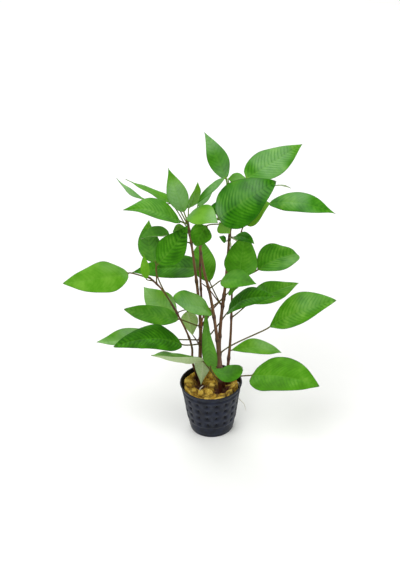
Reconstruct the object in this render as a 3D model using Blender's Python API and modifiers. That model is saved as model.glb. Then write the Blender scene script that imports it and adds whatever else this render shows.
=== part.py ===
"""Potted temple plant: leafy stems that stand in a rockwool plug, in a small soft plastic pot.

Blender 4.5, metres, +Z up. The origin is the centre of the pot's underside, and the plant's front faces -Y.
Run it with blender --background --python part.py, or from Blender's text editor.
"""

import math
from typing import NamedTuple

import bmesh
import bpy
import numpy as np

# Sizes below are in millimetres, and MM turns them to metres
MM = 0.001
GAP = 0.3

# The pot: a standard 5 cm aquarium pot
POT_HEIGHT = 48.0
POT_RIM_RADIUS = 27.5
POT_FOOT_RADIUS = 19.2
POT_WALL = 1.1
POT_FLOOR = 1.6
POT_SIDES = 36
POT_SHARP_ANGLE = 40.0
DIMPLE_ROWS = 4
DIMPLE_PITCH = 7.5
DIMPLE_TOP = 38.0
DIMPLE_DEPTH = 0.8
RIM_BAND_HEIGHT = 2.0
RIM_NECK_HEIGHT = 43.5
RIM_NECK_DEPTH = 0.3
FOOT_STEP_TOP = 4.5
FOOT_EDGE = 1.2
FOOT_CHAMFER = 0.6
# Outer radius of the wall at a few heights: the band under the rim flares more than the wall below it
WALL_HEIGHTS = (1.2, 5.0, 14.0, 24.0, 36.0, 42.0, 48.0)
WALL_RADII = (19.7, 20.7, 22.0, 23.4, 25.0, 26.2, 27.5)

# The rockwool plug
PLUG_TOP = 40.0
PLUG_RISE = 4.5
PLUG_REACH = 25.0
PLUG_FALL = 0.03
PLUG_LUMP = 1.6
PLUG_LUMP_LENGTH = 15.0
PLUG_RIPPLE = 0.5
PLUG_RIPPLE_RATE = 1.7
PLUG_SIDES = 24
PLUG_TOP_RADII = (7.5, 15.0, 21.3)
PLUG_SHOULDER_RISE = 2.0
PLUG_SHOULDER_ROUNDING = 0.6
PLUG_CLEARANCE = 0.5
PLUG_WAIST_HEIGHT = 14.0
PLUG_SHARP_ANGLE = 60.0

# Leaves
LEAF_THICKNESS = 0.9
LEAF_SHARP_ANGLE = 50.0
# Places round a blade's section: share of the half width, and which skin the point is on
BLADE_PLACES = ((1, 0), (0.5, 1), (0, 1), (-0.5, 1), (-1, 0), (-0.5, -1), (0, -1), (0.5, -1))
STALK_RADIUS = 0.75
TIP_RADIUS = 0.3
SMALL_LEAF = 30.0
BLADE_STATIONS = (0.08, 0.22, 0.40, 0.58, 0.76, 0.90, 1.0)
SMALL_BLADE_STATIONS = (0.12, 0.36, 0.62, 0.84, 1.0)
STALK_STATIONS = (0.0, 0.4, 0.75)
SMALL_STALK_STATIONS = (0.0, 0.55)
STALK_SPREAD = 0.6
STALK_LEAVE = 0.7
STALK_ARRIVE = 0.5

# Stems
STEM_STATIONS = 11
STEM_SAMPLES = 80
ROUTE_STEPS = 16


class Stem(NamedTuple):
    """A stem: the points that its centre line passes, foot first, and its radius at the foot and the top."""

    name: str
    route: tuple
    foot_radius: float
    top_radius: float


class Leaf(NamedTuple):
    """A leaf: where its stalk leaves which stem, where its blade starts and ends, and how the blade lies.

    tilt is how far the upper face tips from straight up to the front, in degrees, and side how far it
    tips to the right. arch lifts the middle of the blade and sway shifts it across. fold raises both
    halves from the midrib, and twist turns the tip about the midrib. broadest is where along its length
    the blade is widest. base_taper and tip_taper sharpen its two ends: below 1 an end is rounded.
    stalk_rise turns the stalk upwards where it leaves the stem.
    """

    name: str
    stem: str
    node: float
    base: tuple
    tip: tuple
    width: float
    tilt: float = 35.0
    side: float = 0.0
    arch: float = 3.0
    fold: float = 12.0
    twist: float = 0.0
    sway: float = 0.0
    broadest: float = 0.4
    base_taper: float = 1.0
    tip_taper: float = 1.15
    stalk_rise: float = 0.0


STEMS = (
    Stem("stem_tall_left", ((-10, 9, 42), (-9, 8, 71), (-8, 6, 102), (-9, 3, 132), (-12, -1, 172),
                            (-15, -5, 203), (-17, -6, 217)), 1.9, 1.0),
    Stem("stem_tall_left_branch", ((-5, 6, 112), (-6.5, 8, 129), (-7, 8, 148), (-7, 8, 167), (-6, 8, 182),
                                   (-3, 8, 196)), 1.1, 0.9),
    Stem("stem_middle", ((8, -4, 42.5), (6.8, -4, 84), (5, -4, 107), (1, -4, 140), (-4, -4, 166),
                         (-7, -1, 193), (-5, 4, 221)), 1.8, 1.0),
    Stem("stem_tall_right", ((11, 2, 42), (7.9, 2, 78), (10, 4, 112), (14, 6, 144), (17, 6, 179),
                             (19, 6, 207), (17, 6, 241)), 1.8, 1.0),
    Stem("stem_short_right", ((14, 6, 42.5), (16, 9, 64), (18, 11, 86), (19, 14, 104), (20, 19, 130)),
         1.5, 0.9),
    Stem("stem_left", ((-12, 14, 42.5), (-16, 8, 64), (-16, 4, 82), (-20, 0, 101), (-29, -5, 127),
                       (-39, -9, 150), (-50, -11, 165)), 1.5, 0.9),
)

LEAVES = (
    # Crown of the tall left stem
    Leaf("leaf_back_left_curled", "stem_tall_left", 205, (-31, 18, 218), (-76, 48, 228), 14, -25, 0, -7, 5),
    Leaf("leaf_back_left_narrow", "stem_tall_left", 211, (-26, 7, 223), (-67, 20, 241), 18, -15, 0, 0, 10,
         broadest=0.28),
    Leaf("leaf_upper_left", "stem_tall_left", 212, (-22, -13, 218), (-67, -34, 241), 28, 14, 0, 4.5, 22),
    Leaf("leaf_upper_left_upright", "stem_tall_left", 216, (-19, 0, 219), (-31, 6, 258), 17, 60, -5, 2, 15,
         tip_taper=1.5),
    Leaf("leaf_young_upright", "stem_tall_left", 216, (-15, -6, 226), (-7, -12, 253), 13, 55, 35, 1, 20),
    Leaf("leaf_crown_yellow", "stem_tall_left", 212, (-15, -14, 224), (8, -32, 226), 22, 22, 0, 4.5, 8,
         broadest=0.45, base_taper=0.5, tip_taper=1),
    Leaf("leaf_small_left", "stem_tall_left", 201, (-19, -5, 208), (-29, -2, 202), 9, 50, 0, 1, 8),
    # Upper part of the middle stem
    Leaf("leaf_young_dark", "stem_middle", 219, (-8, 8, 220), (6, 16, 231), 7, 40, 0, 1, 10),
    Leaf("leaf_centre_drooping", "stem_tall_right", 204, (-1, -8, 210), (-10, -18, 197), 18, 60, 0, 2, 8,
         sway=1, base_taper=0.75, tip_taper=0.7),
    # Crown of the tall right stem
    Leaf("leaf_top", "stem_tall_right", 239, (16, 10, 243), (-1, 26, 279), 17, 60, 15, 2, 14,
         tip_taper=1.3),
    Leaf("leaf_top_right", "stem_tall_right", 238, (32, 12, 242), (82, 56, 251), 28, 35, 0, 0, 12,
         broadest=0.38, base_taper=0.8),
    Leaf("leaf_top_bud_right", "stem_tall_right", 240, (18, 6, 246), (33, 0, 248), 10, 30, 0, 1, 10),
    Leaf("leaf_dark_behind", "stem_tall_right", 214, (16, -1, 219), (3, -5, 227), 15, 45, 0, 1, 10,
         tip_taper=0.75),
    Leaf("leaf_crossing_narrow", "stem_tall_right", 237, (15, 2, 249), (-12, -2, 225), 8, 20, 0, 1, 10),
    Leaf("leaf_upper_right_broad", "stem_tall_right", 210, (8, -14, 220), (54, -34, 263), 37, 50, 0, 3, 10,
         base_taper=0.85, tip_taper=0.8),
    Leaf("leaf_upper_right_behind", "stem_tall_right", 205, (25, -2, 218), (51, -12, 232), 29, 50, 0, 1, 8),
    Leaf("leaf_upper_right_drooping", "stem_tall_right", 222, (50, 4, 223), (103, -20, 225), 22.5, 20, 0,
         5.5, 15, broadest=0.42, tip_taper=1.3),
    Leaf("leaf_upper_right_edge", "stem_tall_right", 226, (50, 12, 234), (70, 20, 228), 8, -25, 0, 2, 5),
    Leaf("leaf_young_yellow", "stem_tall_right", 200, (10, -9, 213), (18, -16, 207), 13, 55, 0, 1, 10),
    # Middle of the tall right stem
    Leaf("leaf_small_dark", "stem_tall_right", 192, (22, -4, 197), (38, -15, 196), 12, 15, 0, 3, 18),
    Leaf("leaf_tiny", "stem_tall_right", 189, (15, 0, 191), (9, -6, 199), 6, 45, 0, 0.5, 10),
    Leaf("leaf_middle_upright", "stem_tall_right", 150, (26, -4, 157), (31, -1, 195), 28, 70, 0, 2, 12,
         sway=-1, tip_taper=0.55),
    Leaf("leaf_middle_right", "stem_tall_right", 148, (41, 0, 162), (76, 22, 164), 31, 18, 0, 4.5, 18,
         broadest=0.48, base_taper=0.85, tip_taper=0.5),
    Leaf("leaf_middle_tucked", "stem_tall_right", 134, (17, 2, 140), (25, -6, 149), 12, 30, 0, 1, 10),
    Leaf("leaf_centre_back", "stem_tall_right", 124, (1, 15, 142), (-4, 56, 159), 21, 70, 0, 3, 10,
         sway=-2.5, tip_taper=0.8),
    Leaf("leaf_centre_left", "stem_middle", 119, (0, -8, 130), (-30, -32, 155), 27, 25, 0, 0, 14,
         base_taper=0.55, tip_taper=0.55),
    # Middle stem
    Leaf("leaf_middle_front", "stem_middle", 148, (10, -12, 160), (39, -32, 168), 20, 27, 0, 3, 18),
    Leaf("leaf_over_pot", "stem_middle", 50, (0, -17, 76), (27, -27, 82), 15, 45, 0, 0, 12, sway=6.5,
         broadest=0.65, base_taper=0.7, tip_taper=0.5),
    # Short right stem and the right side
    Leaf("leaf_middle_right_back", "stem_short_right", 106, (35, 16, 119), (81, 52, 116), 22, 28, 0, 3, 15),
    Leaf("leaf_middle_right_front", "stem_tall_left", 84, (16, 9, 115), (55, -6, 139), 25, 14, 0, 6, 20,
         base_taper=0.6, tip_taper=0.9),
    Leaf("leaf_right_broad", "stem_tall_right", 76, (50, -14, 113), (105, -30, 149), 32, 22, 0, 5.5, 18,
         broadest=0.5, base_taper=1.1, tip_taper=0.9, stalk_rise=1.8),
    Leaf("leaf_lower_right_back", "stem_short_right", 66, (18, 14, 71), (65, 34, 53), 19, 20, 0, 6.5, 10,
         broadest=0.5),
    Leaf("leaf_lower_right", "stem_tall_right", 52, (35, -12, 62), (91, -50, 76), 41, 20, 0, 5, 14,
         tip_taper=0.85),
    # Lower left
    Leaf("leaf_hanging_pale", "stem_tall_left", 56, (-6, 4, 70), (-9, -3, 46), 15, 90, 180, 1, 10,
         broadest=0.22, base_taper=0.7, tip_taper=1.3),
    Leaf("leaf_lower_left_folded", "stem_middle", 51, (-7, 1, 69), (-50, -46, 110), 22, -17, 0, -2.5, 43,
         broadest=0.42, base_taper=0.5),
    Leaf("leaf_lower_left", "stem_tall_left", 84, (-24, -7, 93), (-82, -30, 108), 29, 18, 0, 8.5, 14,
         tip_taper=0.8),
    Leaf("leaf_lower_left_behind", "stem_tall_left", 88, (-44, 4, 92), (-97, -22, 108), 26, 18, 0, 1.5, 14),
    Leaf("leaf_left_middle", "stem_tall_left", 103, (-26, 4, 112), (-74, 10, 120), 19, 27, 0, -1, 10,
         tip_taper=0.75),
    Leaf("leaf_left_behind", "stem_left", 130, (-29, 24, 103), (-58, 54, 115), 24, 38, 0, 2, 10, sway=-2),
    Leaf("leaf_hanging_small", "stem_left", 124, (-19, 12, 115), (-15, 12, 89), 15, 90, 180, 1, 10),
    Leaf("leaf_centre_hanging", "stem_tall_right", 131, (-3, -5, 123), (3, -10, 66), 13.5, 60, -20, 3, 16,
         sway=0.8, broadest=0.7, base_taper=0.3),
    # Left stem
    Leaf("leaf_left_upper_front", "stem_left", 134, (-42, -20, 182), (-16, -14, 215), 24, 60, 0, 2, 8,
         sway=1.5, base_taper=1.2, stalk_rise=1),
    Leaf("leaf_left_curled", "stem_tall_left", 192, (-31, -9, 203), (-55, -12, 202), 14, 5, 0, 1, 50,
         base_taper=0.8, tip_taper=0.8),
    Leaf("leaf_left_curled_under", "stem_left", 157, (-44, -8, 177), (-48, 4, 211), 19, 50, 0, 1, 10,
         sway=-3),
    Leaf("leaf_left_behind_upper", "stem_tall_left_branch", 140, (-8, 16, 155), (-67, 36, 141), 25, 25, 0,
         4, 12, broadest=0.3, base_taper=0.5),
    Leaf("leaf_far_left", "stem_left", 164, (-66, -14, 171), (-119, -36, 176), 28, 35, 0, 3, 8, sway=-2.5,
         broadest=0.5, base_taper=1.1, tip_taper=0.85),
    Leaf("leaf_left_bud", "stem_left", 161, (-52, -16, 166), (-53, -14, 189), 8, 60, 0, 1, 10),
)


def unit(vector):
    """The vector at length one."""
    vector = np.asarray(vector, float)
    return vector / np.linalg.norm(vector)


def smooth_route(points, count):
    """Points spaced evenly along the Catmull-Rom curve through the route's own points."""
    points = np.asarray(points, float)
    padded = np.vstack([2 * points[0] - points[1], points, 2 * points[-1] - points[-2]])
    step = np.linspace(0, 1, ROUTE_STEPS, endpoint=False)[:, None]
    pieces = []
    for before, start, end, after in zip(padded, padded[1:], padded[2:], padded[3:]):
        pieces.append(0.5 * (2 * start + (end - before) * step
                             + (2 * before - 5 * start + 4 * end - after) * step ** 2
                             + (3 * start - before - 3 * end + after) * step ** 3))
    dense = np.vstack(pieces + [points[-1:]])
    reach = np.concatenate([[0], np.cumsum(np.linalg.norm(np.diff(dense, axis=0), axis=1))])
    even = np.linspace(0, reach[-1], count)
    return np.stack([np.interp(even, reach, dense[:, axis]) for axis in range(3)], axis=1)


def stem_at(stem, height):
    """The centre of a stem at a height, and its radius there."""
    line = smooth_route(stem.route, STEM_SAMPLES)
    centre = np.array([np.interp(height, line[:, 2], line[:, axis]) for axis in range(3)])
    share = (height - line[0, 2]) / (line[-1, 2] - line[0, 2])
    return centre, stem.foot_radius + share * (stem.top_radius - stem.foot_radius)


def wall_radius(height):
    """Outer radius of the pot's wall at a height."""
    return np.interp(height, WALL_HEIGHTS, WALL_RADII)


def plug_height(x, y):
    """Height of the rockwool at a place: higher at the wall, a little lower at the back, with soft lumps."""
    wave = 2 * math.pi / PLUG_LUMP_LENGTH
    lumps = np.sin(wave * x + 1.0) * np.sin(wave * y + 0.4)
    ripple = PLUG_RIPPLE * np.sin(PLUG_RIPPLE_RATE * wave * (x + y))
    rise = PLUG_RISE * ((x * x + y * y) / PLUG_REACH ** 2) ** 2
    return PLUG_TOP + rise - PLUG_FALL * y + PLUG_LUMP * (lumps + ripple)


# Materials


def material(name, red, green, blue, roughness):
    """A plain material of one colour."""
    made = bpy.data.materials.new(name)
    made.use_nodes = True
    shader = made.node_tree.nodes["Principled BSDF"]
    shader.inputs["Base Color"].default_value = (red, green, blue, 1.0)
    shader.inputs["Roughness"].default_value = roughness
    shader.inputs["Metallic"].default_value = 0.0
    made.diffuse_color = (red, green, blue, 1.0)
    return made


def leaf_green():
    """Living leaf with a soft sheen."""
    return material("leaf", 0.06, 0.25, 0.02, 0.45)


def stem_brown():
    """Brown, slightly woody stem."""
    return material("stem", 0.10, 0.05, 0.03, 0.55)


def pot_plastic():
    """Dark slate-coloured soft plastic."""
    return material("pot_plastic", 0.02, 0.022, 0.03, 0.4)


def rockwool_fibre():
    """Ochre mineral wool."""
    return material("rockwool", 0.35, 0.25, 0.05, 0.95)


# Building meshes


def add_object(name, mesh, sharp_angle, finish, collection):
    """A named object of a mesh, shaded smooth but for its sharp edges."""
    mesh.name = name
    mesh.shade_smooth()
    mesh.set_sharp_from_angle(angle=math.radians(sharp_angle))
    mesh.materials.clear()
    mesh.materials.append(finish)
    made = bpy.data.objects.new(name, mesh)
    collection.objects.link(made)
    return made


def loft(rings):
    """Points and faces of a closed body through rings of equally many points, with flat ends."""
    count = len(rings[0])
    faces = [list(range(count))]
    for ring in range(len(rings) - 1):
        for side in range(count):
            here, beside = ring * count + side, ring * count + (side + 1) % count
            faces.append([here, here + count, beside + count, beside])
    last = (len(rings) - 1) * count
    faces.append(list(range(last, last + count))[::-1])
    return np.vstack(rings), faces


# Leaves


def outline(leaf, share):
    """Half width of a blade along its midrib, as a share of the widest.

    It is the sine of half a turn, stretched so that its crest lies where the blade is widest, to a power
    that changes from the base's taper to the tip's.
    """
    swept = share ** (math.log(0.5) / math.log(leaf.broadest))
    taper = leaf.base_taper + (leaf.tip_taper - leaf.base_taper) * share
    return np.clip(np.sin(math.pi * swept), 0, 1) ** taper


def face_direction(leaf):
    """The way that a blade's upper face looks, square to its midrib."""
    tilt, side = math.radians(leaf.tilt), math.radians(leaf.side)
    looks = np.array([math.sin(side), -math.sin(tilt) * math.cos(side), math.cos(tilt) * math.cos(side)])
    along = unit(np.subtract(leaf.tip, leaf.base))
    return unit(looks - looks.dot(along) * along)


def blade_frame(leaf, share):
    """A place on a blade's midrib: its centre, and the ways along the midrib, across it and off the face."""
    chord = np.subtract(leaf.tip, leaf.base)
    up = face_direction(leaf)
    bend = up * leaf.arch + unit(np.cross(chord, up)) * leaf.sway
    centre = np.asarray(leaf.base, float) + chord * share + bend * 4 * share * (1 - share)
    along = unit(chord + bend * 4 * (1 - 2 * share))
    normal = unit(up - up.dot(along) * along)
    across = np.cross(along, normal)
    turn = math.radians(leaf.twist) * share
    return (centre, along, across * math.cos(turn) + normal * math.sin(turn),
            normal * math.cos(turn) - across * math.sin(turn))


def blade_ring(leaf, share):
    """Eight points round a blade's folded section."""
    centre, _, across, normal = blade_frame(leaf, share)
    half = max(leaf.width / 2 * outline(leaf, share), TIP_RADIUS)
    lift = half * math.tan(math.radians(leaf.fold))
    skin = min(LEAF_THICKNESS / 2, half)
    return np.array([centre + across * half * place + normal * (lift * abs(place) + skin * side)
                     for place, side in BLADE_PLACES])


def stalk_ring(centre, across, normal):
    """Eight points round a leaf's stalk, in the order of a blade's ring."""
    angles = np.arange(len(BLADE_PLACES)) * 2 * math.pi / len(BLADE_PLACES)
    return centre + STALK_RADIUS * (np.outer(np.cos(angles), across) + np.outer(np.sin(angles), normal))


def smooth_bridge(begin, leave, end, arrive, share):
    """A point on the cubic curve that leaves and arrives at given velocities, and the curve's way there."""
    square, cube = share ** 2, share ** 3
    point = ((2 * cube - 3 * square + 1) * begin + (cube - 2 * square + share) * leave
             + (3 * square - 2 * cube) * end + (cube - square) * arrive)
    along = (6 * (square - share) * (begin - end) + (3 * square - 4 * share + 1) * leave
             + (3 * square - 2 * share) * arrive)
    return point, unit(along)


def is_small(leaf):
    """Whether a blade is short enough to need few stations."""
    return np.linalg.norm(np.subtract(leaf.tip, leaf.base)) < SMALL_LEAF


def stalk_rings(leaf, stem):
    """Rings of the stalk from beside its stem to the blade: a smooth curve that leaves the stem rising."""
    end, start, across, normal = blade_frame(leaf, 0.0)
    foot, radius = stem_at(stem, leaf.node)
    outward = end - foot
    flat = unit([outward[0], outward[1], 0.0])
    begin = foot + flat * (radius + GAP + STALK_RADIUS)
    length = np.linalg.norm(end - begin)
    way = STALK_SPREAD * flat + unit(outward) + np.array([0.0, 0.0, leaf.stalk_rise])
    leave = unit(way) * length * STALK_LEAVE
    rings = []
    for share in SMALL_STALK_STATIONS if is_small(leaf) else STALK_STATIONS:
        centre, along = smooth_bridge(begin, leave, end, start * length * STALK_ARRIVE, share)
        upright = unit(normal - normal.dot(along) * along)
        rings.append(stalk_ring(centre, np.cross(along, upright), upright))
    return rings + [stalk_ring(end, across, normal)]


def add_leaf(leaf, stem, finish, collection):
    """One leaf: blade and stalk grown together, a loft between a round section and a folded blade's."""
    stations = SMALL_BLADE_STATIONS if is_small(leaf) else BLADE_STATIONS
    points, faces = loft(stalk_rings(leaf, stem) + [blade_ring(leaf, share) for share in stations])
    mesh = bpy.data.meshes.new(leaf.name)
    mesh.from_pydata((points * MM).tolist(), [], faces)
    return add_object(leaf.name, mesh, LEAF_SHARP_ANGLE, finish, collection)


# Stems


def add_stem(stem, finish, collection):
    """A tapering stem along its route."""
    curve = bpy.data.curves.new(stem.name, "CURVE")
    curve.dimensions = "3D"
    curve.bevel_depth = MM
    curve.bevel_resolution = 2
    curve.use_fill_caps = True
    spline = curve.splines.new("POLY")
    line = smooth_route(stem.route, STEM_STATIONS)
    spline.points.add(len(line) - 1)
    radii = np.linspace(stem.foot_radius, stem.top_radius, len(line))
    for point, place, radius in zip(spline.points, line, radii):
        point.co = (*(place * MM), 1.0)
        point.radius = radius
    curve.materials.append(finish)
    made = bpy.data.objects.new(stem.name, curve)
    collection.objects.link(made)
    return made


# Pot and plug


def pot_profile():
    """Half section of the pot: from the floor up the inside, over the rim and down the outside."""
    lower = POT_HEIGHT - RIM_BAND_HEIGHT
    rows = [DIMPLE_TOP + DIMPLE_PITCH / 2 * (1 - step) for step in range(2 * DIMPLE_ROWS + 1)]
    inside = [(0.0, POT_FLOOR)]
    inside += [(wall_radius(z) - POT_WALL, z) for z in (POT_FLOOR, *WALL_HEIGHTS[2:5:2], POT_HEIGHT)]
    outside = [(POT_RIM_RADIUS, POT_HEIGHT), (wall_radius(lower), lower),
               (wall_radius(RIM_NECK_HEIGHT) - RIM_NECK_DEPTH, RIM_NECK_HEIGHT)]
    outside += [(wall_radius(z), z) for z in rows + [FOOT_STEP_TOP]]
    foot = [(POT_FOOT_RADIUS + FOOT_CHAMFER / 2, FOOT_EDGE), (POT_FOOT_RADIUS - FOOT_CHAMFER, 0.0),
            (0.0, 0.0)]
    return inside + outside + foot


def turned_mesh(profile):
    """The mesh that a half section makes when it turns once about the vertical axis."""
    line = bpy.data.meshes.new("profile")
    edges = [(index, index + 1) for index in range(len(profile) - 1)]
    line.from_pydata([(radius * MM, 0.0, z * MM) for radius, z in profile], edges, [])
    turned = bpy.data.objects.new("profile", line)
    bpy.context.scene.collection.objects.link(turned)
    screw = turned.modifiers.new("Turn", "SCREW")
    screw.steps = screw.render_steps = POT_SIDES
    screw.use_merge_vertices = True
    screw.merge_threshold = 0.00001
    bpy.context.view_layer.update()
    mesh = bpy.data.meshes.new_from_object(turned.evaluated_get(bpy.context.evaluated_depsgraph_get()))
    bpy.data.objects.remove(turned)
    return mesh


def press_dimples(mesh):
    """Press every second point of every second row in, which leaves ridges that cross between the dimples."""
    column = 2 * math.pi / POT_SIDES
    for vertex in mesh.vertices:
        x, y, z = (value / MM for value in vertex.co)
        radius = math.hypot(x, y)
        row = (DIMPLE_TOP - z) / DIMPLE_PITCH
        turn = round(math.atan2(y, x) / column)
        outer = radius > wall_radius(z) - POT_WALL / 2
        in_row = math.isclose(row, round(row), abs_tol=0.05) and 0 <= round(row) < DIMPLE_ROWS
        if outer and in_row and turn % 2 == 0:
            vertex.co.x *= 1 - DIMPLE_DEPTH / radius
            vertex.co.y *= 1 - DIMPLE_DEPTH / radius


def add_pot(finish, collection):
    """The pot: a turned cup with dimples pressed into its wall."""
    mesh = turned_mesh(pot_profile())
    press_dimples(mesh)
    return add_object("pot", mesh, POT_SHARP_ANGLE, finish, collection)


def plug_loops():
    """Loops of points round the plug, from the middle of its lumpy top to its flat underside."""
    angles = np.arange(PLUG_SIDES) * 2 * math.pi / PLUG_SIDES
    bottom = POT_FLOOR + GAP
    loops = []
    for radius in PLUG_TOP_RADII:
        x, y = radius * np.cos(angles), radius * np.sin(angles)
        loops.append(np.stack([x, y, plug_height(x, y)], axis=1))
    shoulder = PLUG_TOP + PLUG_SHOULDER_RISE
    for z, rounding in ((shoulder, PLUG_SHOULDER_ROUNDING), (PLUG_WAIST_HEIGHT, 0.0), (bottom, 0.0)):
        radius = wall_radius(z) - POT_WALL - PLUG_CLEARANCE - rounding
        x, y = radius * np.cos(angles), radius * np.sin(angles)
        loops.append(np.stack([x, y, np.full(PLUG_SIDES, z)], axis=1))
    return loops


def add_plug(finish, collection):
    """The rockwool plug: it fills the pot to below the rim, and its top is lumpy."""
    solid = bmesh.new()
    centre = solid.verts.new((0, 0, plug_height(0, 0) * MM))
    loops = [[solid.verts.new(point * MM) for point in loop] for loop in plug_loops()]
    for side in range(PLUG_SIDES):
        beside = (side + 1) % PLUG_SIDES
        solid.faces.new((centre, loops[0][side], loops[0][beside]))
        for upper, lower in zip(loops, loops[1:]):
            solid.faces.new((upper[side], lower[side], lower[beside], upper[beside]))
    solid.faces.new(loops[-1][::-1])
    mesh = bpy.data.meshes.new("rockwool")
    solid.to_mesh(mesh)
    solid.free()
    return add_object("rockwool", mesh, PLUG_SHARP_ANGLE, finish, collection)


def main():
    """Clear the scene and build the plant."""
    for old in list(bpy.data.objects):
        bpy.data.objects.remove(old)
    collection = bpy.data.collections.new("potted_temple_plant")
    bpy.context.scene.collection.children.link(collection)
    add_pot(pot_plastic(), collection)
    add_plug(rockwool_fibre(), collection)
    bark = stem_brown()
    for stem in STEMS:
        add_stem(stem, bark, collection)
    stems = {stem.name: stem for stem in STEMS}
    green = leaf_green()
    for leaf in LEAVES:
        add_leaf(leaf, stems[leaf.stem], green, collection)


main()
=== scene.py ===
"""Potted temple plant: the finished surfaces of its leaves, stems, rockwool, pot and roots."""

import math
from typing import NamedTuple

import bpy
import numpy as np
from bpy.props import FloatProperty, FloatVectorProperty, IntProperty, PointerProperty, StringProperty
from mathutils import Matrix, Vector


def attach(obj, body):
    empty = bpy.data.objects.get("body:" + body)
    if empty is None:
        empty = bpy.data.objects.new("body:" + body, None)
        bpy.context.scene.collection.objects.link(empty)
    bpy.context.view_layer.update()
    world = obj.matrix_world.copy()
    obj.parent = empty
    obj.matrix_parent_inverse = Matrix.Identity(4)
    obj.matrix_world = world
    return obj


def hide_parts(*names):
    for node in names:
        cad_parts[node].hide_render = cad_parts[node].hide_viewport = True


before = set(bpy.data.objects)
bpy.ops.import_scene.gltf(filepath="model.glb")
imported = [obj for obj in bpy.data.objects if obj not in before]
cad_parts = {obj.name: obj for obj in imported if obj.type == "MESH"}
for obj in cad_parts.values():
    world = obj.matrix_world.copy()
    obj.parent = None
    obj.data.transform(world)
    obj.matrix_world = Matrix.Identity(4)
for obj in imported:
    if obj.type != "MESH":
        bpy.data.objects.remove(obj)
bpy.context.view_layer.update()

bl_info = {
    "name": "Potted temple plant",
    "version": (1, 0, 0),
    "blender": (4, 5, 0),
    "location": "View3D > Sidebar > Plant",
    "description": "Leaves, stems, rockwool, pot and roots of a potted aquarium plant",
    "category": "Add Mesh",
}

# Sizes below are in millimetres, and MM turns them to metres
MM = 0.001
BODY = "root"

# The pot's wall: outer radius at a few heights
WALL_HEIGHTS = (1.2, 5.0, 14.0, 24.0, 36.0, 42.0, 48.0)
WALL_RADII = (19.7, 20.7, 22.0, 23.4, 25.0, 26.2, 27.5)
POT_FLOOR = 1.6

# Hollows in the wool round the stems' feet: x, y and radius
WOOL_HOLLOWS = ((-10, 3, 6.0), (9, -4, 8.0), (14, 6, 4.0), (-12, 13, 4.0))

# The pot's wall, the width of its mouth inside, and how high its ridges stand
POT_WALL = 1.1
POT_MOUTH = 25.0
RIDGE_HEIGHT = 0.95
POINTS_PER_COLUMN = 16

# The wool: its radius at the top, its gap to the wall, and how far its fibres start and reach from the middle
WOOL_RADIUS = 24.6
WOOL_GAP = 0.4
WOOL_LIFT = 0.9
FIBRE_START = 22.5
FIBRE_REACH = 23.6

# Stems that are thinner than their solids, and by what share
THINNED = {"stem_left": 0.78}

# How high the blade swells between two veins, for each millimetre of quilt
SWELLING = 1.3

# sRGB hex colours of small marks
# Of the first three, the second and third are painted shade: black in the pot's dimples and on its inner wall
CLOUD, PIT_SHADE, INSIDE_SHADE = "2a3146", "07080b", "060607"
# The first of the next two is a painted highlight, laid in pale streaks along the stems
HIGHLIGHT_STREAK, DARK_STREAK = "a88458", "4a3a2c"
UNDER_HAIR, UNDER_RIB = "d6dfc4", "d3dbb4"
FLOOR_MOTTLE = "efefed"

# How a stalk leaves its stem and meets its blade
STALK_SPREAD = 0.6
STALK_LEAVE = 0.7
STALK_ARRIVE = 0.5
STEM_SAMPLES = 80
ROUTE_STEPS = 16


class Stem(NamedTuple):
    """A stem: the points that its centre line passes, foot first, and its radius at the foot and the top."""

    name: str
    route: tuple
    foot_radius: float
    top_radius: float


class Leaf(NamedTuple):
    """A leaf: where its stalk leaves which stem, where its blade starts and ends, and how the blade lies.

    tilt is how far the upper face tips from straight up to the front, in degrees, and side how far it
    tips to the right. arch lifts the middle of the blade and sway shifts it across. fold raises both
    halves from the midrib, and twist turns the tip about the midrib. broadest is where along its length
    the blade is widest. base_taper and tip_taper sharpen its two ends: below 1 an end is rounded.
    stalk_rise turns the stalk upwards where it leaves the stem.
    """

    name: str
    stem: str
    node: float
    base: tuple
    tip: tuple
    width: float
    tilt: float = 35.0
    side: float = 0.0
    arch: float = 3.0
    fold: float = 12.0
    twist: float = 0.0
    sway: float = 0.0
    broadest: float = 0.4
    base_taper: float = 1.0
    tip_taper: float = 1.15
    stalk_rise: float = 0.0


class Look(NamedTuple):
    """How a leaf differs from its neighbours.

    tone runs from -1, deep green, to 1, light. youth runs from 0, mature, to 1, a yellow-green young leaf.
    quilt is how far the blade swells between its side veins, and wave how far its margins rise and
    fall, both in millimetres. veins is how plainly the side veins show, as painted shade in their grooves
    and a painted highlight on the pillows between them. sheen is how strong the painted sheen is, pale
    patches of highlight on the blade, and half how much lighter the half to the right of the midrib is
    painted, as if the light fell more on it.
    """

    tone: float
    youth: float
    quilt: float
    wave: float
    veins: float
    sheen: float
    half: float = 0.0


STEMS = (
    Stem("stem_tall_left", ((-10, 9, 42), (-9, 8, 71), (-8, 6, 102), (-9, 3, 132), (-12, -1, 172),
                            (-15, -5, 203), (-17, -6, 217)), 1.9, 1.0),
    Stem("stem_tall_left_branch", ((-5, 6, 112), (-6.5, 8, 129), (-7, 8, 148), (-7, 8, 167), (-6, 8, 182),
                                   (-3, 8, 196)), 1.1, 0.9),
    Stem("stem_middle", ((8, -4, 42.5), (6.8, -4, 84), (5, -4, 107), (1, -4, 140), (-4, -4, 166),
                         (-7, -1, 193), (-5, 4, 221)), 1.8, 1.0),
    Stem("stem_tall_right", ((11, 2, 42), (7.9, 2, 78), (10, 4, 112), (14, 6, 144), (17, 6, 179),
                             (19, 6, 207), (17, 6, 241)), 1.8, 1.0),
    Stem("stem_short_right", ((14, 6, 42.5), (16, 9, 64), (18, 11, 86), (19, 14, 104), (20, 19, 130)),
         1.5, 0.9),
    Stem("stem_left", ((-12, 14, 42.5), (-16, 8, 64), (-16, 4, 82), (-20, 0, 101), (-29, -5, 127),
                       (-39, -9, 150), (-50, -11, 165)), 1.5, 0.9),
)

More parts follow.
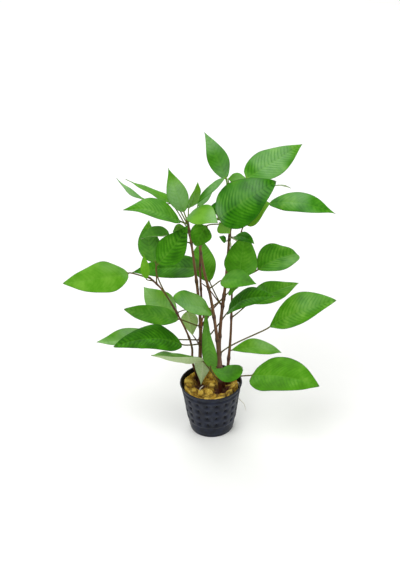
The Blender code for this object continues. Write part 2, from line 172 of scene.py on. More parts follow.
LEAVES = (
    # Crown of the tall left stem
    Leaf("leaf_back_left_curled", "stem_tall_left", 205, (-31, 18, 218), (-76, 48, 228), 14, -25, 0, -7, 5),
    Leaf("leaf_back_left_narrow", "stem_tall_left", 211, (-26, 7, 223), (-67, 20, 241), 18, -15, 0, 0, 10,
         broadest=0.28),
    Leaf("leaf_upper_left", "stem_tall_left", 212, (-22, -13, 218), (-67, -34, 241), 28, 14, 0, 4.5, 22),
    Leaf("leaf_upper_left_upright", "stem_tall_left", 216, (-19, 0, 219), (-31, 6, 258), 17, 60, -5, 2, 15,
         tip_taper=1.5),
    Leaf("leaf_young_upright", "stem_tall_left", 216, (-15, -6, 226), (-7, -12, 253), 13, 55, 35, 1, 20),
    Leaf("leaf_crown_yellow", "stem_tall_left", 212, (-15, -14, 224), (8, -32, 226), 22, 22, 0, 4.5, 8,
         broadest=0.45, base_taper=0.5, tip_taper=1),
    Leaf("leaf_small_left", "stem_tall_left", 201, (-19, -5, 208), (-29, -2, 202), 9, 50, 0, 1, 8),
    # Upper part of the middle stem
    Leaf("leaf_young_dark", "stem_middle", 219, (-8, 8, 220), (6, 16, 231), 7, 40, 0, 1, 10),
    Leaf("leaf_centre_drooping", "stem_tall_right", 204, (-1, -8, 210), (-10, -18, 197), 18, 60, 0, 2, 8,
         sway=1, base_taper=0.75, tip_taper=0.7),
    # Crown of the tall right stem
    Leaf("leaf_top", "stem_tall_right", 239, (16, 10, 243), (-1, 26, 279), 17, 60, 15, 2, 14,
         tip_taper=1.3),
    Leaf("leaf_top_right", "stem_tall_right", 238, (32, 12, 242), (82, 56, 251), 28, 35, 0, 0, 12,
         broadest=0.38, base_taper=0.8),
    Leaf("leaf_top_bud_right", "stem_tall_right", 240, (18, 6, 246), (33, 0, 248), 10, 30, 0, 1, 10),
    Leaf("leaf_dark_behind", "stem_tall_right", 214, (16, -1, 219), (3, -5, 227), 15, 45, 0, 1, 10,
         tip_taper=0.75),
    Leaf("leaf_crossing_narrow", "stem_tall_right", 237, (15, 2, 249), (-12, -2, 225), 8, 20, 0, 1, 10),
    Leaf("leaf_upper_right_broad", "stem_tall_right", 210, (8, -14, 220), (54, -34, 263), 37, 50, 0, 3, 10,
         base_taper=0.85, tip_taper=0.8),
    Leaf("leaf_upper_right_behind", "stem_tall_right", 205, (25, -2, 218), (51, -12, 232), 29, 50, 0, 1, 8),
    Leaf("leaf_upper_right_drooping", "stem_tall_right", 222, (50, 4, 223), (103, -20, 225), 22.5, 20, 0,
         5.5, 15, broadest=0.42, tip_taper=1.3),
    Leaf("leaf_upper_right_edge", "stem_tall_right", 226, (50, 12, 234), (70, 20, 228), 8, -25, 0, 2, 5),
    Leaf("leaf_young_yellow", "stem_tall_right", 200, (10, -9, 213), (18, -16, 207), 13, 55, 0, 1, 10),
    # Middle of the tall right stem
    Leaf("leaf_small_dark", "stem_tall_right", 192, (22, -4, 197), (38, -15, 196), 12, 15, 0, 3, 18),
    Leaf("leaf_tiny", "stem_tall_right", 189, (15, 0, 191), (9, -6, 199), 6, 45, 0, 0.5, 10),
    Leaf("leaf_middle_upright", "stem_tall_right", 150, (26, -4, 157), (31, -1, 195), 28, 70, 0, 2, 12,
         sway=-1, tip_taper=0.55),
    Leaf("leaf_middle_right", "stem_tall_right", 148, (41, 0, 162), (76, 22, 164), 31, 18, 0, 4.5, 18,
         broadest=0.48, base_taper=0.85, tip_taper=0.5),
    Leaf("leaf_middle_tucked", "stem_tall_right", 134, (17, 2, 140), (25, -6, 149), 12, 30, 0, 1, 10),
    Leaf("leaf_centre_back", "stem_tall_right", 124, (1, 15, 142), (-4, 56, 159), 21, 70, 0, 3, 10,
         sway=-2.5, tip_taper=0.8),
    Leaf("leaf_centre_left", "stem_middle", 119, (0, -8, 130), (-30, -32, 155), 27, 25, 0, 0, 14,
         base_taper=0.55, tip_taper=0.55),
    # Middle stem
    Leaf("leaf_middle_front", "stem_middle", 148, (10, -12, 160), (39, -32, 168), 20, 27, 0, 3, 18),
    Leaf("leaf_over_pot", "stem_middle", 50, (0, -17, 76), (27, -27, 82), 15, 45, 0, 0, 12, sway=6.5,
         broadest=0.65, base_taper=0.7, tip_taper=0.5),
    # Short right stem and the right side
    Leaf("leaf_middle_right_back", "stem_short_right", 106, (35, 16, 119), (81, 52, 116), 22, 28, 0, 3, 15),
    Leaf("leaf_middle_right_front", "stem_tall_left", 84, (16, 9, 115), (55, -6, 139), 25, 14, 0, 6, 20,
         base_taper=0.6, tip_taper=0.9),
    Leaf("leaf_right_broad", "stem_tall_right", 76, (50, -14, 113), (105, -30, 149), 32, 22, 0, 5.5, 18,
         broadest=0.5, base_taper=1.1, tip_taper=0.9, stalk_rise=1.8),
    Leaf("leaf_lower_right_back", "stem_short_right", 66, (18, 14, 71), (65, 34, 53), 19, 20, 0, 6.5, 10,
         broadest=0.5),
    Leaf("leaf_lower_right", "stem_tall_right", 52, (35, -12, 62), (91, -50, 76), 41, 20, 0, 5, 14,
         broadest=0.4, base_taper=0.85, tip_taper=0.9),
    # Lower left
    Leaf("leaf_hanging_pale", "stem_tall_left", 56, (-6, 4, 70), (-9, -3, 46), 15, 90, 180, 1, 10,
         broadest=0.22, base_taper=0.7, tip_taper=1.3),
    Leaf("leaf_lower_left_folded", "stem_middle", 51, (-7, 1, 69), (-50, -46, 110), 22, -17, 0, -2.5, 43,
         broadest=0.42, base_taper=0.5),
    Leaf("leaf_lower_left", "stem_tall_left", 84, (-24, -7, 93), (-82, -30, 108), 29, 18, 0, 8.5, 14,
         tip_taper=0.8),
    Leaf("leaf_lower_left_behind", "stem_tall_left", 88, (-44, 4, 92), (-97, -22, 108), 26, 18, 0, 1.5, 14),
    Leaf("leaf_left_middle", "stem_tall_left", 103, (-26, 4, 112), (-74, 10, 120), 19, 27, 0, -1, 10,
         tip_taper=0.75),
    Leaf("leaf_left_behind", "stem_left", 130, (-29, 24, 103), (-58, 54, 115), 24, 38, 0, 2, 10, sway=-2),
    Leaf("leaf_hanging_small", "stem_left", 124, (-19, 12, 115), (-15, 12, 89), 15, 90, 180, 1, 10),
    Leaf("leaf_centre_hanging", "stem_tall_right", 131, (-3, -5, 123), (3, -10, 66), 13.5, 60, -20, 3, 16,
         sway=0.8, broadest=0.7, base_taper=0.3),
    # Left stem
    Leaf("leaf_left_upper_front", "stem_left", 134, (-42, -20, 182), (-16, -14, 215), 24, 60, 0, 2, 8,
         sway=1.5, base_taper=1.2, stalk_rise=1),
    Leaf("leaf_left_curled", "stem_tall_left", 192, (-31, -9, 203), (-55, -12, 202), 14, 5, 0, 1, 50,
         base_taper=0.8, tip_taper=0.8),
    Leaf("leaf_left_curled_under", "stem_left", 157, (-44, -8, 177), (-48, 4, 211), 19, 50, 0, 1, 10,
         sway=-3),
    Leaf("leaf_left_behind_upper", "stem_tall_left_branch", 140, (-8, 16, 155), (-67, 36, 141), 25, 25, 0,
         4, 12, broadest=0.3, base_taper=0.5),
    Leaf("leaf_far_left", "stem_left", 164, (-66, -14, 171), (-119, -36, 176), 28, 35, 0, 3, 8, sway=-2.5,
         broadest=0.42, base_taper=0.95, tip_taper=0.9),
    Leaf("leaf_left_bud", "stem_left", 161, (-52, -16, 166), (-53, -14, 189), 8, 60, 0, 1, 10),
)

# In each row the sixth number sets the painted sheen and the seventh the painted lightening of the right half
LOOKS = {
    "leaf_back_left_curled": Look(0.1, 0.0, 0.15, 0.8, 0.2, 0.6),
    "leaf_back_left_narrow": Look(-0.1, 0.4, 0.15, 0.6, 0.3, 0.1),
    "leaf_upper_left": Look(-0.1, 0.2, 0.25, 0.5, 0.6, 0.1),
    "leaf_upper_left_upright": Look(0.1, 0.3, 0.15, 0.5, 0.2, 0.5, 0.2),
    "leaf_young_upright": Look(0.5, 0.7, 0.15, 0.4, 0.2, 0.2),
    "leaf_crown_yellow": Look(0.5, 0.4, 0.15, 0.4, 0.1, 0.6),
    "leaf_small_left": Look(0.1, 0.1, 0.1, 0.3, 0.2, 0.2),
    "leaf_young_dark": Look(0.0, 0.0, 0.1, 0.3, 0.2, 0.4),
    "leaf_centre_drooping": Look(-0.5, 0.2, 0.25, 0.4, 0.4, 0.0),
    "leaf_top": Look(-0.1, 0.1, 0.25, 0.5, 0.3, 0.4),
    "leaf_top_right": Look(0.1, 0.1, 0.45, 0.4, 0.6, 0.4),
    "leaf_top_bud_right": Look(-0.3, 0.4, 0.1, 0.2, 0.2, 0.2),
    "leaf_dark_behind": Look(-1.0, 0.0, 0.2, 0.2, 0.4, 0.0),
    "leaf_crossing_narrow": Look(-0.2, 0.1, 0.1, 0.3, 0.2, 0.4),
    "leaf_upper_right_broad": Look(-0.3, 0.0, 0.45, 0.5, 0.7, 0.5),
    "leaf_upper_right_behind": Look(0.6, 0.8, 0.15, 0.4, 0.3, 0.2),
    "leaf_upper_right_drooping": Look(0.0, 0.0, 0.15, 0.5, 0.3, 0.5),
    "leaf_upper_right_edge": Look(0.0, 0.1, 0.1, 0.2, 0.1, 0.2),
    "leaf_young_yellow": Look(0.5, 0.9, 0.1, 0.3, 0.2, 0.3),
    "leaf_small_dark": Look(-0.3, 0.0, 0.1, 0.3, 0.3, 0.2),
    "leaf_tiny": Look(-0.3, 0.0, 0.05, 0.1, 0.1, 0.2),
    "leaf_middle_upright": Look(-0.1, 0.2, 0.25, 0.5, 0.3, 0.1, 0.2),
    "leaf_middle_right": Look(0.0, 0.1, 0.35, 0.6, 0.6, 0.3),
    "leaf_middle_tucked": Look(0.0, 0.3, 0.1, 0.2, 0.2, 0.2),
    "leaf_centre_back": Look(-0.2, 0.3, 0.2, 0.4, 0.4, 0.0),
    "leaf_centre_left": Look(0.4, 0.1, 0.15, 0.4, 0.2, 0.4),
    "leaf_middle_front": Look(0.0, 0.2, 0.15, 0.4, 0.2, 0.1),
    "leaf_over_pot": Look(-0.5, 0.2, 0.15, 0.5, 0.2, 0.1),
    "leaf_middle_right_back": Look(0.0, 0.2, 0.25, 0.4, 0.5, 0.2),
    "leaf_middle_right_front": Look(-0.5, 0.1, 0.4, 0.4, 0.7, 0.0),
    "leaf_right_broad": Look(0.2, 0.2, 0.45, 0.4, 0.6, 0.2),
    "leaf_lower_right_back": Look(0.3, 0.4, 0.2, 0.4, 0.3, 0.3),
    "leaf_lower_right": Look(-0.1, 0.3, 0.3, 0.9, 0.4, 0.0),
    "leaf_hanging_pale": Look(0.0, 0.4, 0.1, 0.3, 0.3, 0.3),
    "leaf_lower_left_folded": Look(0.8, 0.4, 0.15, 0.4, 0.3, 0.2),
    "leaf_lower_left": Look(-0.7, 0.1, 0.6, 0.6, 0.7, 0.0),
    "leaf_lower_left_behind": Look(0.4, 0.2, 0.1, 0.6, 0.2, 0.5),
    "leaf_left_middle": Look(0.0, 0.2, 0.3, 0.7, 0.4, 0.1),
    "leaf_left_behind": Look(0.7, 0.3, 0.2, 0.5, 0.3, 0.4),
    "leaf_hanging_small": Look(0.6, 1.0, 0.1, 0.2, 0.3, 0.2),
    "leaf_centre_hanging": Look(-0.6, 0.4, 0.2, 0.5, 0.4, 0.1),
    "leaf_left_upper_front": Look(-0.3, 0.1, 0.45, 0.5, 0.8, 0.0),
    "leaf_left_curled": Look(-0.1, 0.2, 0.2, 0.4, 0.2, 0.1),
    "leaf_left_curled_under": Look(-0.1, 0.2, 0.25, 0.6, 0.4, 0.1),
    "leaf_left_behind_upper": Look(-0.4, 0.1, 0.2, 0.5, 0.4, 0.1),
    "leaf_far_left": Look(0.4, 0.4, 0.12, 1.2, 0.2, 0.2),
    "leaf_left_bud": Look(0.0, 0.7, 0.1, 0.2, 0.2, 0.1),
}

# Torn blocks of wool: place across and towards the back, half width, half depth and height
WOOL_BLOCKS = (
    (-1.6, -11.5, 3.6, 3.2, 5.0), (-9.3, -12.6, 2.8, 3.0, 4.4), (8.5, -18.0, 4.6, 2.6, 2.4),
    (-15.0, -9.5, 3.4, 3.2, 2.6), (1.4, 1.0, 3.4, 3.0, 2.6), (15.5, -13.5, 3.6, 3.0, 2.8),
    (-4.5, -19.0, 3.8, 2.2, 2.4), (19.0, -5.0, 3.0, 4.0, 2.8), (-19.5, -1.0, 3.4, 3.6, 2.4),
    (-13.5, -16.0, 3.0, 2.4, 2.2),
)

# Roots, shoots and bare stalks: points that each passes, radius at its start and end, and its finish
SPRIGS = (
    ("root_outside_pot", ((22, 3, 31), (24, 0, 29), (26, -1, 27), (29, -1, 23), (31, -1, 15)),
     0.45, 0.15, "root"),
    ("root_on_wool", ((22, 3, 43), (24, 2, 44.5), (25, 1, 43), (25, 0, 41)), 0.6, 0.4, "root"),
    ("shoot_in_wool", ((-10.5, -7, 43), (-9.5, -6.5, 45.5), (-7, -5, 47)), 0.6, 0.4, "root"),
    ("shoot_at_upper_node", ((18.5, 5, 192), (22, 2, 191.5), (24.5, 1, 189), (21, 0, 182)),
     0.8, 0.35, "shoot"),
    ("shoot_below_upper_node", ((18.5, 5, 188), (19, 2, 185), (19, 1, 178)), 0.7, 0.35, "shoot"),
    ("stub_on_tall_left_stem", ((-8.2, 5.5, 101), (-7, 5, 108), (-5.5, 4, 114)), 1.5, 0.5, "stub"),
    ("stalk_crossing_low", ((-8, 5.5, 102), (-2, 5, 112), (3, 5, 121), (8, 5.5, 127), (13.5, 6, 134)),
     1.25, 0.5, "stalk"),
    ("stalk_crossing_high", ((12, 5, 122), (6, 9, 129), (0, 12, 137), (-6, 12, 143)), 0.6, 0.5, "stalk"),
    ("stalk_at_crown", ((16.5, 8, 245), (16.6, 7.5, 240), (17.2, 6.5, 234)), 0.5, 0.7, "stalk"),
    ("stalk_hooked", ((37, 4, 205), (33, 5, 204), (30, 4, 203), (28, 2, 199), (27, 0, 196)),
     0.5, 0.6, "stalk"),
    ("stalk_fork_low", ((-9.6, 6, 83), (-12, 4, 90), (-15, 3, 96)), 0.55, 0.5, "stalk"),
)


# Settings that a user would change


def length_setting(name, words, millimetres):
    """A length that a user can change, given in millimetres."""
    return FloatProperty(name=name, description=words, default=millimetres * MM, unit="LENGTH")


def power_setting(name, words, watts):
    """The power of a light that a user can change, in watts."""
    return FloatProperty(name=name, description=f"Power of {words}", default=watts, unit="POWER")


def colour_setting(name, words, hex_colour):
    """A colour that a user can change, as an sRGB hex value."""
    return StringProperty(name=name, description=f"sRGB hex of {words}", default=hex_colour)


class PotSettings(bpy.types.PropertyGroup):
    """Sizes and colours of the pot."""

    height: length_setting("Height", "Height of the pot", 48.0)
    wall: length_setting("Wall", "Thickness of the pot's wall", POT_WALL)
    columns: IntProperty(name="Columns", description="Columns of dimples round the pot", default=18)
    rows: IntProperty(name="Rows", description="Rows of dimples", default=4)
    row_top: length_setting("Top row", "Height of the top row", 38.0)
    row_pitch: length_setting("Row pitch", "Distance between rows", 7.5)
    dimple_depth: length_setting("Dimple depth", "Depth of a dimple", 1.2)
    colour: colour_setting("Colour", "the plastic", "0a0e1a")
    # Paler colour of the ridge crests, in patches
    crest_colour: colour_setting("Worn colour", "its rubbed ridges", "3a3e4c")


class WoolSettings(bpy.types.PropertyGroup):
    """Sizes and colours of the rockwool."""

    top: length_setting("Top", "Height of the wool's middle", 40.0)
    lump: length_setting("Lumps", "Height of a lump of wool", 3.0)
    fibres: IntProperty(name="Fibres", description="Loose fibres on the wool", default=220)
    fibre_radius: length_setting("Fibre radius", "Radius of a tuft of fibres", 0.1)
    colour: colour_setting("Colour", "the wool", "b88e1a")
    # Light colour paints highlights on the tops of the lumps and blocks; random strands carry it too
    light_colour: colour_setting("Light colour", "its dry tops", "e2c052")
    # Deep colour also paints shade in the creases and on the blocks' flanks
    deep_colour: colour_setting("Deep colour", "its creases", "4c2e08")
    stain_colour: colour_setting("Stain colour", "the wool round the stems", "42140a")


class StemSettings(bpy.types.PropertyGroup):
    """Sizes and colours of the stems and stalks."""

    node_swelling: FloatProperty(name="Node swelling", description="How much wider a stem is at its nodes",
                                 default=0.32, min=0.0, max=1.0, subtype="FACTOR")
    node_pitch: length_setting("Node pitch", "Distance between nodes", 29.0)
    stalk_radius: length_setting("Stalk radius", "Radius of a leaf's stalk", 0.62)
    foot_colour: colour_setting("Foot colour", "the stems in the wool", "4a1a10")
    low_colour: colour_setting("Low colour", "the stems' lower half", "6a4420")
    stalk_colour: colour_setting("Stalk colour", "the leaves' stalks", "5c3a2e")
    high_colour: colour_setting("High colour", "the stems' upper half", "7e5a26")
    node_colour: colour_setting("Node colour", "the nodes", "35201a")
    shoot_colour: colour_setting("Shoot colour", "young shoots", "b9c391")
    root_colour: colour_setting("Root colour", "roots", "e2dccb")


class LeafSettings(bpy.types.PropertyGroup):
    """Sizes and colours of the leaves."""

    thickness: length_setting("Thickness", "Thickness of a blade", 0.45)
    vein_spacing: length_setting("Vein spacing", "Distance between side veins along the midrib", 3.8)
    grid: length_setting("Grid", "Size of the blade's faces", 0.85)
    deep_colour: colour_setting("Deep colour", "dark leaves", "145600")
    colour: colour_setting("Colour", "most leaves", "3c860c")
    light_colour: colour_setting("Light colour", "light leaves", "6ea836")
    young_colour: colour_setting("Young colour", "young leaves", "70ac20")
    # Painted sheen: the pale colour of the highlight patches on the blades
    painted_sheen_colour: colour_setting("Wax", "the pale wax", "b4d6ac")
    # Painted shade along the sunk side veins
    vein_shade_colour: colour_setting("Veins", "sunk side veins", "0c4c02")
    under_colour: colour_setting("Underside", "the undersides", "aebd98")
    young_under_colour: colour_setting("Young underside", "young undersides", "9ccc54")
    margin_colour: colour_setting("Margin", "margins and tips", "3c5c28")


class StageSettings(bpy.types.PropertyGroup):
    """The floor, the lights and the camera."""

    floor_colour: colour_setting("Floor", "the floor", "fbfbfa")
    sky: FloatProperty(name="Sky", description="Brightness of the surroundings", default=0.45)
    key_power: power_setting("Key light", "the main light", 16.0)
    fill_power: power_setting("Fill light", "the second light", 5.0)
    back_power: power_setting("Back light", "the light behind", 9.0)
    eye: FloatVectorProperty(name="Camera", description="Where the camera stands",
                             default=(-7.518 * MM, -934.98 * MM, 728.50 * MM), unit="LENGTH")
    elevation: FloatProperty(name="Elevation", description="How far the camera looks down",
                             default=math.radians(31.8), unit="ROTATION")
    roll: FloatProperty(name="Roll", description="How far the camera leans", default=math.radians(1.5),
                        unit="ROTATION")
    lens: FloatProperty(name="Lens", description="Focal length on a 36 mm frame", default=82.1, unit="CAMERA")


# Shapes that the pieces share


def unit(vector):
    """The vector, or each row of vectors, at length one."""
    vector = np.asarray(vector, float)
    return vector / np.linalg.norm(vector, axis=-1, keepdims=True)


def ease(value, low, high):
    """0 below low, 1 above high and a smooth cubic step between them."""
    share = np.clip((value - low) / (high - low), 0.0, 1.0)
    return share * share * (3.0 - 2.0 * share)


def smooth_route(points, count):
    """Points spaced evenly along the Catmull-Rom curve through the route's own points."""
    points = np.asarray(points, float)
    padded = np.vstack([2 * points[0] - points[1], points, 2 * points[-1] - points[-2]])
    step = np.linspace(0, 1, ROUTE_STEPS, endpoint=False)[None, :, None]
    before, start, end, after = (padded[first:first + len(points) - 1, None] for first in range(4))
    curve = 0.5 * (2 * start + (end - before) * step + (2 * before - 5 * start + 4 * end - after) * step ** 2
                   + (3 * start - before - 3 * end + after) * step ** 3)
    dense = np.vstack([curve.reshape(-1, 3), points[-1:]])
    reach = np.concatenate([[0], np.cumsum(np.linalg.norm(np.diff(dense, axis=0), axis=1))])
    even = np.linspace(0, reach[-1], count)
    return np.stack([np.interp(even, reach, dense[:, axis]) for axis in range(3)], axis=1)


def stem_at(stem, height):
    """The centre of a stem at a height, and its radius there."""
    line = smooth_route(stem.route, STEM_SAMPLES)
    centre = np.array([np.interp(height, line[:, 2], line[:, axis]) for axis in range(3)])
    share = (height - line[0, 2]) / (line[-1, 2] - line[0, 2])
    return centre, stem.foot_radius + share * (stem.top_radius - stem.foot_radius)


def path_frames(line):
    """Ways along and across a path: the across way is the x axis, made square to the path at each place."""
    along = unit(np.gradient(line, axis=0))
    start = np.array([1.0, 0.0, 0.0])
    across = unit(start - (along @ start)[:, None] * along)
    return along, across, np.cross(along, across)


def value_noise(x, y, size, seed):
    """Smooth noise from -1 to 1: random values on a square lattice, eased between its corners."""
    lattice = np.random.default_rng(seed).uniform(-1, 1, (64, 64))
    u, v = np.asarray(x) / size, np.asarray(y) / size
    column, row = np.floor(u).astype(int), np.floor(v).astype(int)
    s, t = ease(u - column, 0, 1), ease(v - row, 0, 1)
    near, far = column % 64, (column + 1) % 64
    low, high = row % 64, (row + 1) % 64
    return ((lattice[near, low] * (1 - s) + lattice[far, low] * s) * (1 - t)
            + (lattice[near, high] * (1 - s) + lattice[far, high] * s) * t)


def ring_faces(rings, count):
    """Faces between rings of equally many points, with a fan to one point at either end.

    Point 0 is the first pole, the rings follow, and the last point is the other pole.
    """
    ring = np.arange(rings - 1)[:, None] * count + 1
    here = ring + np.arange(count)[None, :]
    beside = ring + (np.arange(count)[None, :] + 1) % count
    quads = np.stack([here, here + count, beside + count, beside], axis=-1).reshape(-1, 4)
    side = np.arange(count)
    after = (side + 1) % count
    first = np.stack([np.zeros(count, int), side + 1, after + 1], axis=1)
    start, pole = (rings - 1) * count + 1, rings * count + 1
    last = np.stack([np.full(count, pole), start + after, start + side], axis=1)
    return quads.tolist() + first.tolist() + last.tolist()


def piece_mesh(name, points, faces, finish, values=None):
    """A piece from points in millimetres and faces, shaded smooth, with each value's number at each point."""
    mesh = bpy.data.meshes.new(name)
    mesh.from_pydata((np.asarray(points) * MM).tolist(), [], faces)
    for key, numbers in (values or {}).items():
        held = mesh.attributes.new(key, "FLOAT", "POINT")
        held.data.foreach_set("value", np.asarray(numbers, np.float32).ravel())
    mesh.shade_smooth()
    mesh.materials.append(finish)
    piece = bpy.data.objects.new(name, mesh)
    bpy.context.scene.collection.objects.link(piece)
    return piece


def place(piece, slot, *nodes):
    """Hands a finished piece to the frame: its body and the solids that it stands for. The slot is not used.
    """
    if not piece.data.polygons:
        raise RuntimeError(f"{piece.name} has no faces")
    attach(piece, BODY)
    if nodes:
        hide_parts(*nodes)
    return piece


def tube(name, route, radii, finish):
    """A round tube along a smooth route: at each place a circle of the radius there, closed at both ends."""
    sides = 12
    length = np.linalg.norm(np.diff(np.asarray(route, float), axis=0), axis=1).sum()
    count = max(6, int(length))
    line = smooth_route(route, count)
    along, across, other = path_frames(line)
    share = np.linspace(0, 1, count)
    radius = np.interp(share, np.linspace(0, 1, len(radii)), radii)
    radius *= np.sqrt(np.clip(1 - ease(share, 0.9, 1.0) ** 2 * 0.75, 0, 1))
    turn = np.arange(sides) * 2 * math.pi / sides
    rings = (line[:, None] + radius[:, None, None] * (np.cos(turn)[None, :, None] * across[:, None]
                                                      + np.sin(turn)[None, :, None] * other[:, None]))
    ends = (line[0] - along[0] * radius[0] * 0.3, line[-1] + along[-1] * radius[-1] * 0.5)
    points = np.vstack([ends[0], rings.reshape(-1, 3), ends[1]])
    shares = np.concatenate([[0], np.repeat(share, sides), [1]])
    faces = [face[::-1] for face in ring_faces(count, sides)]
    return piece_mesh(name, points, faces, finish, {"share": shares})


# Materials


def linear(hex_colour, alpha=1.0):
    """An sRGB hex colour as linear red, green, blue and alpha."""
    parts = [int(hex_colour[first:first + 2], 16) / 255 for first in (0, 2, 4)]
    return (*(part / 12.92 if part <= 0.04045 else ((part + 0.055) / 1.055) ** 2.4 for part in parts), alpha)


def add(tree, kind, values=None, links=None, **settings):
    """Adds a node: its settings, the values of its inputs and the outputs that feed its inputs."""
    made = tree.nodes.new(kind)
    for key, value in settings.items():
        setattr(made, key, value)
    for key, value in (values or {}).items():
        made.inputs[key].default_value = value
    for key, source in (links or {}).items():
        tree.links.new(source, made.inputs[key])
    return made


def start_material(name, roughness, ior):
    """A new material, its tree and its shader with constant roughness and IOR."""
    made = bpy.data.materials.new(name)
    made.use_nodes = True
    shader = made.node_tree.nodes["Principled BSDF"]
    shader.inputs["Roughness"].default_value = roughness
    shader.inputs["IOR"].default_value = ior
    return made, made.node_tree, shader


def blend(tree, share, first, second, mode="MIX"):
    """Mixes two colours, each a hex value or an output, by a share that is a number or an output."""
    made = add(tree, "ShaderNodeMix", data_type="RGBA", blend_type=mode)
    for index, value in ((0, share), (6, first), (7, second)):
        if isinstance(value, str):
            made.inputs[index].default_value = linear(value)
        elif isinstance(value, float):
            made.inputs[index].default_value = value
        else:
            tree.links.new(value, made.inputs[index])
    return made.outputs[2]


def reckon(tree, operation, *parts):
    """Arithmetic on numbers and outputs."""
    made = add(tree, "ShaderNodeMath", operation=operation)
    for index, part in enumerate(parts):
        if isinstance(part, (int, float)):
            made.inputs[index].default_value = part
        else:
            tree.links.new(part, made.inputs[index])
    return made.outputs[0]


def times(tree, first, second):
    """The product of two numbers or outputs."""
    return reckon(tree, "MULTIPLY", first, second)


def window(tree, value, low, high, out_low=0.0, out_high=1.0):
    """A smooth step of a value from low to high."""
    made = add(tree, "ShaderNodeMapRange", {1: low, 2: high, 3: out_low, 4: out_high}, {0: value},
               interpolation_type="SMOOTHSTEP")
    return made.outputs[0]


def attribute(tree, name):
    """The number that a piece holds at each point."""
    return add(tree, "ShaderNodeAttribute", attribute_name=name).outputs["Fac"]


def patches(tree, millimetres, detail=2.0, stretch=(1.0, 1.0, 1.0)):
    """Noise from 0 to 1 on Object coordinates, in patches so many millimetres wide, stretched on the axes."""
    where = add(tree, "ShaderNodeTexCoord").outputs["Object"]
    scaled = add(tree, "ShaderNodeMapping", {"Scale": stretch}, {"Vector": where})
    values = {"Scale": 1000.0 / millimetres, "Detail": detail, "Roughness": 0.55}
    made = add(tree, "ShaderNodeTexNoise", values, {"Vector": scaled.outputs[0]})
    return made.outputs["Fac"]


def bumpy(tree, shader, height, millimetres, strength=1.0):
    """Feeds a height from 0 to 1 to the shader's normal, as relief of so many millimetres."""
    values = {"Strength": strength, "Distance": millimetres * MM}
    made = add(tree, "ShaderNodeBump", values, {"Height": height})
    tree.links.new(made.outputs[0], shader.inputs["Normal"])


def living_leaf(settings, stems):
    """Living leaf: softly glossy above, with sunk side veins, and pale, matt and ribbed below.

    Pale patches of painted sheen lie on deep green, with painted shade in the vein grooves, painted highlight
    on the pillows between them and a thin dull margin.
    """
    made, tree, shader = start_material("living_leaf", 0.45, 1.42)
    shader.inputs["Specular IOR Level"].default_value = 0.1
    upper, edge, along, tone, youth, rib, stalk, phase, veins = (attribute(tree, held) for held in (
        "upper", "edge", "along", "tone", "youth", "rib", "stalk", "vein", "veins"))
    fine = patches(tree, 1.1, 3.0)
    gap = reckon(tree, "ABSOLUTE", reckon(tree, "SUBTRACT", reckon(tree, "FRACT", phase), 0.5))
    shown = times(tree, window(tree, edge, 1.0, 0.5), veins)
    line = times(tree, window(tree, gap, 0.28, 0.5), shown)
    # Painted shade in the vein grooves and painted highlight on the pillows between them, as a shift of tone
    swell = times(tree, window(tree, gap, 0.5, 0.05, -0.55, 0.55), shown)
    cast = reckon(tree, "ADD", tone, reckon(tree, "ADD", swell, window(tree, fine, 0.3, 0.7, 0.12, -0.12)))
    green = blend(tree, window(tree, cast, -1.2, 0.2), settings.deep_colour, settings.colour)
    green = blend(tree, window(tree, cast, -0.2, 1.2), green, settings.light_colour)
    green = blend(tree, times(tree, youth, 0.85), green, settings.young_colour)
    # Painted sheen: pale patches of highlight, weaker on the veins
    painted_sheen_patches = times(tree, attribute(tree, "sheen"), window(tree, fine, 0.2, 0.7, 0.4, 0.7))
    painted_sheen_patches = times(tree, painted_sheen_patches, reckon(tree, "SUBTRACT", 1.0, times(tree, line, 0.7)))
    face = blend(tree, painted_sheen_patches, green, settings.painted_sheen_colour)
    # Painted shade along the sunk side veins
    face = blend(tree, times(tree, line, 0.3), face, settings.vein_shade_colour)
    face = blend(tree, times(tree, rib, 0.3), face, settings.light_colour)
    under = blend(tree, times(tree, line, 0.5), settings.under_colour, settings.light_colour)
    under = blend(tree, times(tree, youth, 0.8), under, settings.young_under_colour)
    under = blend(tree, window(tree, fine, 0.35, 0.7, 0.0, 0.35), under, UNDER_HAIR)
    under = blend(tree, times(tree, rib, 0.5), under, UNDER_RIB)
    colour = blend(tree, upper, under, face)
    dull = reckon(tree, "MAXIMUM", window(tree, edge, 0.95, 1.0), window(tree, along, 0.94, 1.0))
    colour = blend(tree, times(tree, dull, 0.75), colour, settings.margin_colour)
    bark = blend(tree, attribute(tree, "fresh"), stems.stalk_colour, settings.young_colour)
    colour = blend(tree, stalk, colour, bark)
    tree.links.new(colour, shader.inputs["Base Color"])
    gloss = window(tree, tone, -0.8, 0.8, 0.50, 0.40)
    rough = reckon(tree, "ADD", gloss, window(tree, upper, 0.0, 1.0, 0.25, 0.0))
    tree.links.new(reckon(tree, "ADD", rough, times(tree, fine, 0.1)), shader.inputs["Roughness"])
    bumpy(tree, shader, reckon(tree, "ADD", fine, times(tree, line, -0.8)), 0.12, 0.7)
    return made


